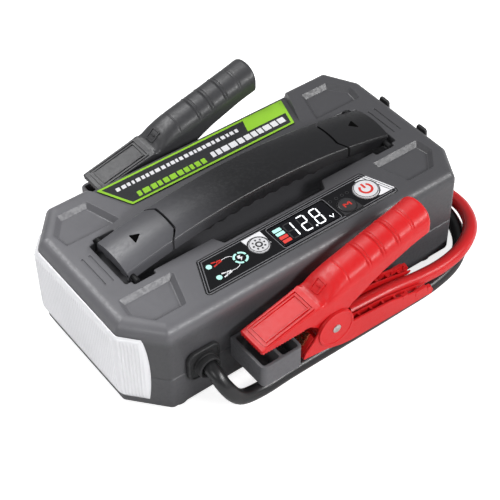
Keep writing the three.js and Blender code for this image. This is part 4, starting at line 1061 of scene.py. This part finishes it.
def build_clamp_metal(name, side):
    """A clamp's metal: toothed copper jaws, a wound spring and the rivet."""
    y0 = side * CLAMP_Y
    teeth = [(-67.4 + 1.6 * k, 52.4 if k % 2 else 54.4) for k in range(21)]
    upper = ccw([(-35.4, 57.3), (-66.6, 57.3), (-66.6, 53.0)] + teeth[1:])
    form = Form().plate(upper, y0 - JAW_HALF, y0 + JAW_HALF, 0.25, 0.15, "y", 3)
    form.make(f"{name}_jaw_teeth", "copper", f"{name}_upper", [f"{name}_upper_jaw"], "copper", crease=25)
    steps = [(-28.9, 43.5), (-29.4, 45.6), (-31.6, 44.4), (-32, 42), (-34.2, 41.2), (-34.6, 38.9),
             (-36.8, 38), (-37.2, 35.7), (-38.4, 34.1), (-37, 33.9)]
    form = Form().plate(ccw(steps), y0 - JAW_HALF, y0 + JAW_HALF, 0.2, 0.15, "y", 3)
    form.make(f"{name}_lower_jaw_strip", "copper", f"{name}_clamp", [f"{name}_lower_jaw"], "copper",
              crease=25)
    form = Form()
    for way in (-1, 1):
        head = [(0, 0.95), (2.0, 0.9), (2.8, 0.7), (3.3, 0.35), (3.4, 0), (3.4, -0.3), (2.5, -0.4),
                (2.5, -14)]
        profile = [(r, y0 + way * (15.35 + h)) for r, h in head]
        form.lathe(profile + [(0, y0 + way * 1.35)], (PIVOT[0], 0, PIVOT[1]), "y", 28)
    form.make(f"{name}_rivet", "steel", f"{name}_clamp", [f"{name}_pivot_pin"], "steel")
    # the spring's wire follows a helix of 5 turns
    a = np.linspace(0, 5.25 * 2 * np.pi, 260)
    coil = np.stack([PIVOT[0] + 5.6 * np.sin(a), y0 - 6 + 12 * a / a[-1], PIVOT[1] - 5.6 * np.cos(a)], 1)
    form = Form().tube(coil, 0.9, (0, 1, 0.05), 10)
    form.make(f"{name}_spring_coil", "steel", f"{name}_clamp", [f"{name}_clamp_spring"], "steel", crease=60)


# ---- control panel ----
def stroke(form, outline, width, low, high, ink=0):
    """A thin raised line round a closed outline: its outer edge, top and inner edge carried round it."""
    p = np.asarray(outline, float)
    q = np.roll(p, -1, 0) - np.roll(p, 1, 0)
    q /= np.linalg.norm(q, axis=1)[:, None]
    out = np.stack([q[:, 1], -q[:, 0]], 1) * width / 2
    rows = [lift(p + out, low), lift(p + out, high), lift(p - out, high), lift(p - out, low)]
    form.net(np.array(rows + [rows[0]]), ink=ink)


def line_print(form, points, width, low, high, ink=0):
    """A thin raised line along open points: each point moved half the width to both sides."""
    p = np.asarray(points, float)
    q = np.gradient(p, axis=0)
    q /= np.linalg.norm(q, axis=1)[:, None]
    out = np.stack([q[:, 1], -q[:, 0]], 1) * width / 2
    around = np.vstack([p + out, (p - out)[::-1]])
    form.net(np.array([lift(around, low), lift(around, high)]), caps=(True, True), ink=ink)


def patch(form, corners, low, high, ink=0, radius=0.3, hole=None):
    """A thin raised patch with round corners, cut by an optional round hole.

    The sides of the fill's triangles that only one triangle has are its edges, and they get walls.
    """
    flat = Form().fill(ring(ccw(corners), radius, 0, 4), [hole] if hole is not None else [])
    points, faces = np.concatenate(flat.points)[:, :2], np.array(flat.faces)
    sides = np.sort(np.concatenate([faces[:, [0, 1]], faces[:, [1, 2]], faces[:, [2, 0]]]), axis=1)
    pairs, count = np.unique(sides, axis=0, return_counts=True)
    rim, n = pairs[count == 1], len(points)
    walls = np.stack([rim[:, 0], rim[:, 1], rim[:, 1] + n, rim[:, 0] + n], 1)
    both = np.concatenate([lift(points, low), lift(points, high)])
    form.add(both, [tuple(f) for f in np.concatenate([faces, faces + n])] + [tuple(w) for w in walls], ink)


def arc_line(x, y, radius, start, end, count=24):
    a = np.radians(np.linspace(start, end, count))
    return np.stack([x + radius * np.cos(a), y + radius * np.sin(a)], 1)


def digit(form, x, y, lit, low, high, ink):
    """A seven-bar digit whose bars are six-sided strips, leaning slightly to the right as y grows."""
    w, h = DIGIT_SIZE
    t, g = DIGIT_STROKE / 2, 0.32
    flat = lambda cx, cy, n: [(cx - n, cy), (cx - n + t, cy - t), (cx + n - t, cy - t), (cx + n, cy),
                              (cx + n - t, cy + t), (cx - n + t, cy + t)]
    tall = lambda cx, cy, n: [(cx, cy - n), (cx + t, cy - n + t), (cx + t, cy + n - t), (cx, cy + n),
                              (cx - t, cy + n - t), (cx - t, cy - n + t)]
    bars = {"a": flat(0, h / 2, w / 2 - g), "g": flat(0, 0, w / 2 - g), "d": flat(0, -h / 2, w / 2 - g),
            "b": tall(w / 2, h / 4, h / 4 - g), "c": tall(w / 2, -h / 4, h / 4 - g),
            "f": tall(-w / 2, h / 4, h / 4 - g), "e": tall(-w / 2, -h / 4, h / 4 - g)}
    for bar, points in bars.items():
        p = np.array(points)
        p = p + np.stack([x + 0.08 * p[:, 1], np.full(len(p), y)], 1)
        net = np.array([lift(p, low), lift(p, high)])
        form.net(net, caps=(True, True), ink=ink[0] if bar in lit else ink[1])


def build_panel():
    """The control panel: a glossy plate with openings for its buttons and display, and thin raised prints."""
    plate = Form()
    outline = ring(PANEL, 2.6, -0.5, 6)
    holes = [circle(x, y, r + 0.35, 40) for x, y, r in BUTTONS.values()]
    x0, x1, y0, y1 = DISPLAY
    holes.append(ring(box(x0 - 0.3, x1 + 0.3, y0 - 0.3, y1 + 0.3), 1, 0, 4))
    low, high = PANEL_FLOOR + 0.25, PANEL_TOP
    edge = ring(PANEL, 2.6, -0.8, 6)
    plate.net(np.array([lift(outline, low), lift(outline, high - 0.25), lift(edge, high)]))
    for hole in holes:
        plate.net(np.array([lift(hole, low), lift(hole, high)]))
    plate.fill(edge, holes, high)
    plate.fill(outline, holes, low)
    plate.make("panel_plate", "panel_gloss", "case", ["control_panel"], "panel")

    low, high = PANEL_TOP - PRINT_DEEP, PANEL_TOP + PRINT_HIGH
    prints = Form()
    WHITE, GREY, DIM, RED, MINT = range(5)
    # The outer grey line runs along the panel's rim as a painted highlight on it; the inner grey line is
    # print.
    stroke(prints, ring(PANEL, 2.6, -1.3, 8), 0.6, low, high, GREY)
    stroke(prints, ring(PANEL, 2.6, -3.2, 8), 0.6, low, high, GREY)
    stroke(prints, ring(box(x0 - 0.9, x1 + 0.9, y0 - 0.9, y1 + 0.9), 2.0, 0, 8), 0.5, low, high, GREY)
    bx, by, br = BUTTONS["light"]
    patch(prints, [(-34.6, -36.8), (-18.6, -36.8), (-18.6, -50.5), (-32.6, -54)], low, high, WHITE, 0.4,
          circle(bx, by, br + 0.9, 40))
    bx, by, br = BUTTONS["power"]
    patch(prints, [(66.0, -38.4), (75.8, -38.6), (84.6, -60.4), (72.0, -60.4), (66.0, -57)], low, high,
          WHITE, 0.4, circle(bx, by, br + 0.9, 40))
    bx, by, br = BUTTONS["mode"]
    patch(prints, [(38.2, -55.0), (53.6, -55.0), (54.4, -62.6), (38.2, -62.6)], low, high, DIM, 0.3,
          circle(bx, by, br + 0.8, 40))
    for x, y, r in BUTTONS.values():
        stroke(prints, circle(x, y, r + 0.62, 44), 0.34, low, high + 0.02, DIM)
    # clamp marks: a wide V on a stem, with a dot at its open end, and leads to the ring mark
    for y, ink in ((-43.4, RED), (-55.4, WHITE)):
        prints.net(np.array([lift(circle(-66.2, y, 2.1, 24), low), lift(circle(-66.2, y, 2.1, 24), high)]),
                   caps=(True, True), ink=MINT)
        line_print(prints, [(-63.2, y + 1.9), (-60.0, y + 1.2), (-56.0, y + 0.4)], 1.0, low, high, ink)
        line_print(prints, [(-63.2, y - 1.9), (-60.0, y - 1.2), (-56.0, y - 0.4)], 1.0, low, high, ink)
        line_print(prints, [(-59.6, y - 1.6), (-59.6, y + 1.6)], 0.7, low, high, ink)
    for lead in ([(-55.8, -43.2), (-52.5, -42.9), (-49.5, -43.6), (-48.0, -45.0)],
                 [(-55.8, -55.4), (-52.0, -55.7), (-49.0, -54.9), (-47.6, -53.4)]):
        line_print(prints, lead, LEAD_STROKE, low, high, WHITE)
    for start in (8, 98, 188, 278):
        line_print(prints, arc_line(-43.9, -49.2, 4.7, start, start + 74, 12), 1.5, low, high, MINT)
    bolt = [(-45.3, -46.6), (-42.9, -46.9), (-43.9, -48.7), (-42.2, -48.9), (-45.2, -52.2), (-44.2, -49.6),
            (-46.0, -49.3)]
    p = ccw(bolt)
    prints.net(np.array([lift(p, low), lift(p, high)]), caps=(True, True), ink=WHITE)
    for x, y in ((38.6, -44), (44.2, -43.8), (49.4, -43.8), (54.0, -43.9)):
        stroke(prints, circle(x, y, 1.2, 18), 0.35, low, high, DIM)
    inks = ["print_white", "print_grey", "print_dim", "print_red", "lit_mint"]
    prints.make("panel_prints", inks, "case", (), "panel", crease=60, weighted=False)

    glass = Form().plate(box(x0 + 0.5, x1 - 0.5, y0 + 0.5, y1 - 0.5), 72.0, PANEL_TOP, 0.15, 0.8)
    glass.make("display_glass", "screen", "case", ["display_module"], "panel")
    lit = Form()
    LIT, OFF, GREEN, SIGNAL = range(4)
    digit(lit, -0.6, -49.7, "bc", low, high, ink=(LIT, OFF))
    digit(lit, 11.0, -49.4, "abged", low, high, ink=(LIT, OFF))
    digit(lit, 22.4, -49.5, "abcdefg", low, high, ink=(LIT, OFF))
    patch(lit, [(16.0, -57.2), (17.3, -57.2), (17.4, -55.9), (16.1, -55.9)], low, high, LIT, 0.2)
    line_print(lit, [(29.3, -54.3), (30.9, -57.2), (32.6, -54.3)], LIT_STROKE, low, high, LIT)
    for row, ink in enumerate((GREEN, GREEN, SIGNAL, SIGNAL)):
        y = -43.6 - row * 4.0
        bar = [(-12.2, y - 1.5), (-5.4, y - 1.5), (-5.2, y + 1.5), (-12.0, y + 1.5)]
        patch(lit, bar, low, high, ink, 0.35)
    inks = ["lit_white", "print_dim", "lit_mint", "lit_red"]
    lit.make("display_marks", inks, "case", (), "panel", crease=60, weighted=False)


def build_buttons():
    """Three round buttons: a domed cap and stem turned about the button's axis, and a raised sign."""
    for name, (x, y, r) in BUTTONS.items():
        profile = [(0, 74), (2.2, 74), (2.2, 76.5), (r - 0.4, 76.5), (r, 76.9), (r, 81.4), (r - 0.15, 81.85),
                   (r - 0.6, 82.1), (r - 1.2, 82.15), (r * 0.5, 82.2), (0, 82.22)]
        finish = "button_black" if name == "mode" else "button_white"
        body, slot = f"{name}_button", "dark_button" if name == "mode" else "white_plastic"
        Form().lathe(profile, (x, y, 0), count=48).make(f"{name}_cap", finish, body, [f"{name}_button"], slot)
        low, high = 82.0, 82.34
        sign = Form()
        stroke(sign, circle(x, y, r - 0.75, 44), 0.4, low - 0.2, high - 0.06, 0)
        if name == "power":
            line_print(sign, arc_line(x, y, 4.5, 128, 412, 40), 1.7, low, high, 1)
            line_print(sign, [(x, y + 0.8), (x, y + 5.6)], 1.7, low, high, 1)
        elif name == "mode":
            for k in (-1, 1):
                line_print(sign, [(x + k * 2.6, y - 1.8), (x + k * 2.6, y + 1.8)], 1.0, low, high, 1)
                line_print(sign, [(x + k * 2.2, y + 1.7), (x, y - 0.3)], 1.0, low, high, 1)
        else:
            stroke(sign, circle(x, y, 2.1, 28), 1.15, low, high, 0)
            for k in range(8):
                a = math.radians(45 * k)
                c, d = math.cos(a), math.sin(a)
                line_print(sign, [(x + 3.7 * c, y + 3.7 * d), (x + 5.0 * c, y + 5.0 * d)], 1.25, low, high, 0)
        sign.make(f"{name}_sign", ["button_black", "print_red"], body, (), slot, crease=60, weighted=False)


def slope_point(flat, above):
    """Points on the label's slope, raised by above."""
    return lift(flat, CASE_TOP - SLOPE * (flat[:, 1] - SLOPE_START) + above)


def build_label():
    """The label on the far slope: a thin dark sheet, a lime border and plain stripes, laid on the slope."""
    plan = ccw([(-73.0, 38.2), (72.0, 38.2), (86.5, 73.0), (-82.0, 73.0)])
    form = Form()
    LIME, WHITE = 1, 2

    def laid(outline, low, high, ink):
        rows = np.array([slope_point(outline, low), slope_point(outline, high)])
        form.net(rows, caps=(True, True), ink=ink)

    def stripe(corners, ink):
        laid(ring(ccw(corners), 0.25, 0, 3), 0.9, 1.06, ink)

    laid(ring(plan, 0.8, 0, 4), 0.2, 0.95, 0)
    edges = [ring(plan, 0.8, g, 4) for g in (-0.1, -0.1, -2.3, -2.3, -0.1)]
    rows = [slope_point(e, h) for e, h in zip(edges, (0.85, 1.08, 1.08, 0.85, 0.85))]
    form.net(np.array(rows), ink=LIME)
    stripe([(41.0, 55.0), (77.5, 55.0), (83.0, 71.2), (48.0, 71.2)], LIME)
    rng = np.random.default_rng(7)
    for y, height, x, end, ink in ((62.5, 4.6, -72.0, 34.0, WHITE), (48.5, 7.2, 2.0, 66.0, WHITE),
                                   (46.5, 6.6, -64.0, -8.0, LIME)):
        while x < end:
            width = rng.uniform(2.6, 5.2) * (height / 6)
            lean = 0.25 * height
            stripe([(x, y - height / 2), (x + width, y - height / 2), (x + width + lean, y + height / 2),
                    (x + lean, y + height / 2)], ink)
            x += width + rng.uniform(1.0, 1.6)
    form.make("label_sheet", ["label_black", "print_green", "print_white"], "case", ["label_plate"], "label",
              crease=60, weighted=False)


# ---- stage ----
def build_stage(s):
    """A pale floor that curves up behind, and soft lights.

    The floor's height is nothing near the pack and rises as the square of the distance past its edge.
    """
    u = np.linspace(-1, 1, 61)
    x, y = np.meshgrid(u * 6000, u * 6000)
    away = np.clip(np.hypot(x, y) - 3000, 0, None)
    floor = Form().net(np.stack([x, y, -0.2 + (away / 60) ** 2 * 0.6], -1).transpose(1, 0, 2), closed=False)
    finish_of("floor_white", (0.80, 0.80, 0.80), (0.78, 0.78, 0.78), (0.8, 0.9), fine=30, broad=2, depth=0.0,
              glow=0.6)
    obj = floor.make("floor", "floor_white", None, weighted=False)
    tree = MATERIALS["floor_white"].node_tree
    seen = node(tree, "ShaderNodeLightPath", (-100, -500))
    tree.links.new(seen.outputs["Is Camera Ray"], tree.nodes["Principled BSDF"].inputs["Emission Strength"])
    if obj.data.polygons[0].normal.z < 0:
        obj.data.flip_normals()

    def light(name, place, size, power):
        lamp = bpy.data.lights.new(name, "AREA")
        lamp.shape, lamp.size, lamp.size_y = "RECTANGLE", size[0], size[1]
        lamp.energy = power
        holder = bpy.data.objects.new(name, lamp)
        holder.location = place
        holder.rotation_mode = "QUATERNION"
        holder.rotation_quaternion = (Vector((0, 0, 0.04)) - Vector(place)).to_track_quat("-Z", "Y")
        bpy.context.collection.objects.link(holder)

    light("key", (-0.35, 1.0, 1.5), (0.9, 0.9), s.key_power)
    light("side", (-1.6, -0.7, 1.2), (0.8, 0.6), s.key_power * 0.3)
    light("rim", (0.75, -1.3, 1.05), (1.4, 0.25), s.key_power * 1.3)
    world = bpy.data.worlds.new("studio")
    world.use_nodes = True
    world.node_tree.nodes["Background"].inputs["Color"].default_value = (0.97, 0.98, 1.0, 1)
    world.node_tree.nodes["Background"].inputs["Strength"].default_value = s.world_strength
    bpy.context.scene.world = world
    bpy.context.scene.view_settings.view_transform = "Standard"


def build_camera():
    """The camera, from its azimuth, elevation and roll round a target a little above the floor."""
    azimuth, elevation, roll = (math.radians(v) for v in (-36.55, 44.38, 0.85))
    target = Vector((0, 0, 0.045))
    back = Vector((math.sin(azimuth) * math.cos(elevation), -math.cos(azimuth) * math.cos(elevation),
                   math.sin(elevation)))
    right = Vector((math.cos(azimuth), math.sin(azimuth), 0))
    up = back.cross(right)
    across = right * math.cos(roll) - up * math.sin(roll)
    above = right * math.sin(roll) + up * math.cos(roll)
    turn = Matrix((across, above, back)).transposed().to_4x4()
    data = bpy.data.cameras.new("camera")
    data.lens, data.sensor_width, data.sensor_fit = 97.75, 36.0, "AUTO"
    data.shift_x, data.shift_y = 0.0019, -0.0446
    data.clip_start, data.clip_end = 0.05, 60
    camera = bpy.data.objects.new("camera", data)
    camera.matrix_world = Matrix.Translation(target + back * 0.9877) @ turn
    bpy.context.collection.objects.link(camera)
    bpy.context.scene.camera = camera


# ---- add-on ----
class PackSettings(bpy.types.PropertyGroup):
    """Sizes and colours that a user would change."""

    cable_diameter: bpy.props.FloatProperty(
        name="Cable diameter", description="Outer diameter of both clamp cables",
        default=2 * CABLE_RADIUS / 1000, unit="LENGTH")
    edge_round: bpy.props.FloatProperty(
        name="Edge rounding", description="Rounding along the case's top, in mm", default=EDGE_ROUND)
    casing_colour: bpy.props.FloatVectorProperty(name="Casing colour", description="Upper case half",
                                                 default=(0.150, 0.149, 0.160), subtype="COLOR", size=3)
    handle_colour: bpy.props.FloatVectorProperty(name="Handle colour", description="Carry handle",
                                                 default=(0.022, 0.022, 0.024), subtype="COLOR", size=3)
    clamp_colour: bpy.props.FloatVectorProperty(name="Clamp colour", description="Red clamp and its cable",
                                                default=(0.66, 0.012, 0.014), subtype="COLOR", size=3)
    key_power: bpy.props.FloatProperty(name="Key light", description="Power of the main light", default=20.0,
                                       unit="POWER")
    world_strength: bpy.props.FloatProperty(
        name="Sky", description="Strength of the even light", default=0.28)


def finish_frame():
    """Gives every CAD part that stays in view, or inside the case, its own finish."""
    for name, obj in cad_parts.items():
        if obj.hide_render:
            continue
        kind = next((k for k in KEPT_FINISH if name.startswith(k)), None)
        if kind is None:
            raise ValueError(f"{name} has no finish")
        obj.data.materials.clear()
        obj.data.materials.append(MATERIALS[KEPT_FINISH[kind]])


SIDES, CLAMPS = (("near", -1), ("far", 1)), (("red", -1), ("black", 1))


class JUMPPACK_OT_camera(bpy.types.Operator):
    """Places the camera"""

    bl_idname = "jumppack.camera"
    bl_label = "Camera"

    def execute(self, context):
        build_camera()
        return {"FINISHED"}


class JUMPPACK_OT_finishes(bpy.types.Operator):
    """Makes every finish"""

    bl_idname = "jumppack.finishes"
    bl_label = "Finishes"

    def execute(self, context):
        s = context.scene.jump_pack
        make_finishes(s)
        return {"FINISHED"}


class JUMPPACK_OT_cables(bpy.types.Operator):
    """Builds both clamp cables"""

    bl_idname = "jumppack.cables"
    bl_label = "Cables"

    def execute(self, context):
        s = context.scene.jump_pack
        build_cable(s, "black", BLACK_ROUTE)
        build_cable(s, "red", RED_ROUTE)
        return {"FINISHED"}


class JUMPPACK_OT_case(bpy.types.Operator):
    """Builds both case halves and the finger recess"""

    bl_idname = "jumppack.case"
    bl_label = "Case"

    def execute(self, context):
        s = context.scene.jump_pack
        build_upper_casing(s)
        build_finger_recess()
        build_lower_casing()
        return {"FINISHED"}


class JUMPPACK_OT_fittings(bpy.types.Operator):
    """Builds glands, holsters, feet and port covers"""

    bl_idname = "jumppack.fittings"
    bl_label = "Fittings"

    def execute(self, context):
        s = context.scene.jump_pack
        for name, side in SIDES:
            build_gland(s, name, side)
        for name, side in SIDES:
            build_holster(name, side)
        build_feet()
        build_port_cover("usb", -1)
        build_port_cover("dc", 1)
        return {"FINISHED"}


class JUMPPACK_OT_lamp(bpy.types.Operator):
    """Builds the ribbed lens"""

    bl_idname = "jumppack.lamp"
    bl_label = "Lamp"

    def execute(self, context):
        build_lens()
        return {"FINISHED"}


class JUMPPACK_OT_handle(bpy.types.Operator):
    """Builds the grip and its end pieces"""

    bl_idname = "jumppack.handle"
    bl_label = "Handle"

    def execute(self, context):
        build_handle()
        return {"FINISHED"}


class JUMPPACK_OT_clamps(bpy.types.Operator):
    """Builds both clamps"""

    bl_idname = "jumppack.clamps"
    bl_label = "Clamps"

    def execute(self, context):
        for name, side in CLAMPS:
            build_upper_lever(name, side)
        for name, side in CLAMPS:
            build_lower_lever(name, side)
        for name, side in CLAMPS:
            build_clamp_metal(name, side)
        return {"FINISHED"}


class JUMPPACK_OT_controls(bpy.types.Operator):
    """Builds the panel, display and buttons"""

    bl_idname = "jumppack.controls"
    bl_label = "Controls"

    def execute(self, context):
        build_panel()
        build_buttons()
        return {"FINISHED"}


class JUMPPACK_OT_label(bpy.types.Operator):
    """Builds the label"""

    bl_idname = "jumppack.label"
    bl_label = "Label"

    def execute(self, context):
        build_label()
        return {"FINISHED"}


class JUMPPACK_OT_stage(bpy.types.Operator):
    """Builds the floor and lights"""

    bl_idname = "jumppack.stage"
    bl_label = "Stage"

    def execute(self, context):
        s = context.scene.jump_pack
        build_stage(s)
        return {"FINISHED"}


class JUMPPACK_OT_frame_finish(bpy.types.Operator):
    """Gives the frame's own parts their finish"""

    bl_idname = "jumppack.frame_finish"
    bl_label = "Inner parts"

    def execute(self, context):
        finish_frame()
        return {"FINISHED"}


OPERATORS = [
    JUMPPACK_OT_camera, JUMPPACK_OT_finishes, JUMPPACK_OT_cables, JUMPPACK_OT_case,
    JUMPPACK_OT_fittings, JUMPPACK_OT_lamp, JUMPPACK_OT_handle, JUMPPACK_OT_clamps,
    JUMPPACK_OT_controls, JUMPPACK_OT_label, JUMPPACK_OT_stage, JUMPPACK_OT_frame_finish,
]


class JUMPPACK_PT_panel(bpy.types.Panel):
    """Lists the build steps and the settings."""

    bl_label = "Jump starter pack"
    bl_idname = "JUMPPACK_PT_panel"
    bl_space_type = "VIEW_3D"
    bl_region_type = "UI"
    bl_category = "Jump Starter"

    def draw(self, context):
        for key in PackSettings.__annotations__:
            self.layout.prop(context.scene.jump_pack, key)
        for kind in OPERATORS:
            self.layout.operator(kind.bl_idname)


CLASSES = [PackSettings, *OPERATORS, JUMPPACK_PT_panel]


def register():
    for kind in CLASSES:
        bpy.utils.register_class(kind)
    bpy.types.Scene.jump_pack = bpy.props.PointerProperty(type=PackSettings)


def unregister():
    del bpy.types.Scene.jump_pack
    for kind in reversed(CLASSES):
        bpy.utils.unregister_class(kind)


def main():
    register()
    for kind in OPERATORS:
        getattr(bpy.ops.jumppack, kind.bl_idname.split(".")[1])()


if __name__ == "__main__":
    main()
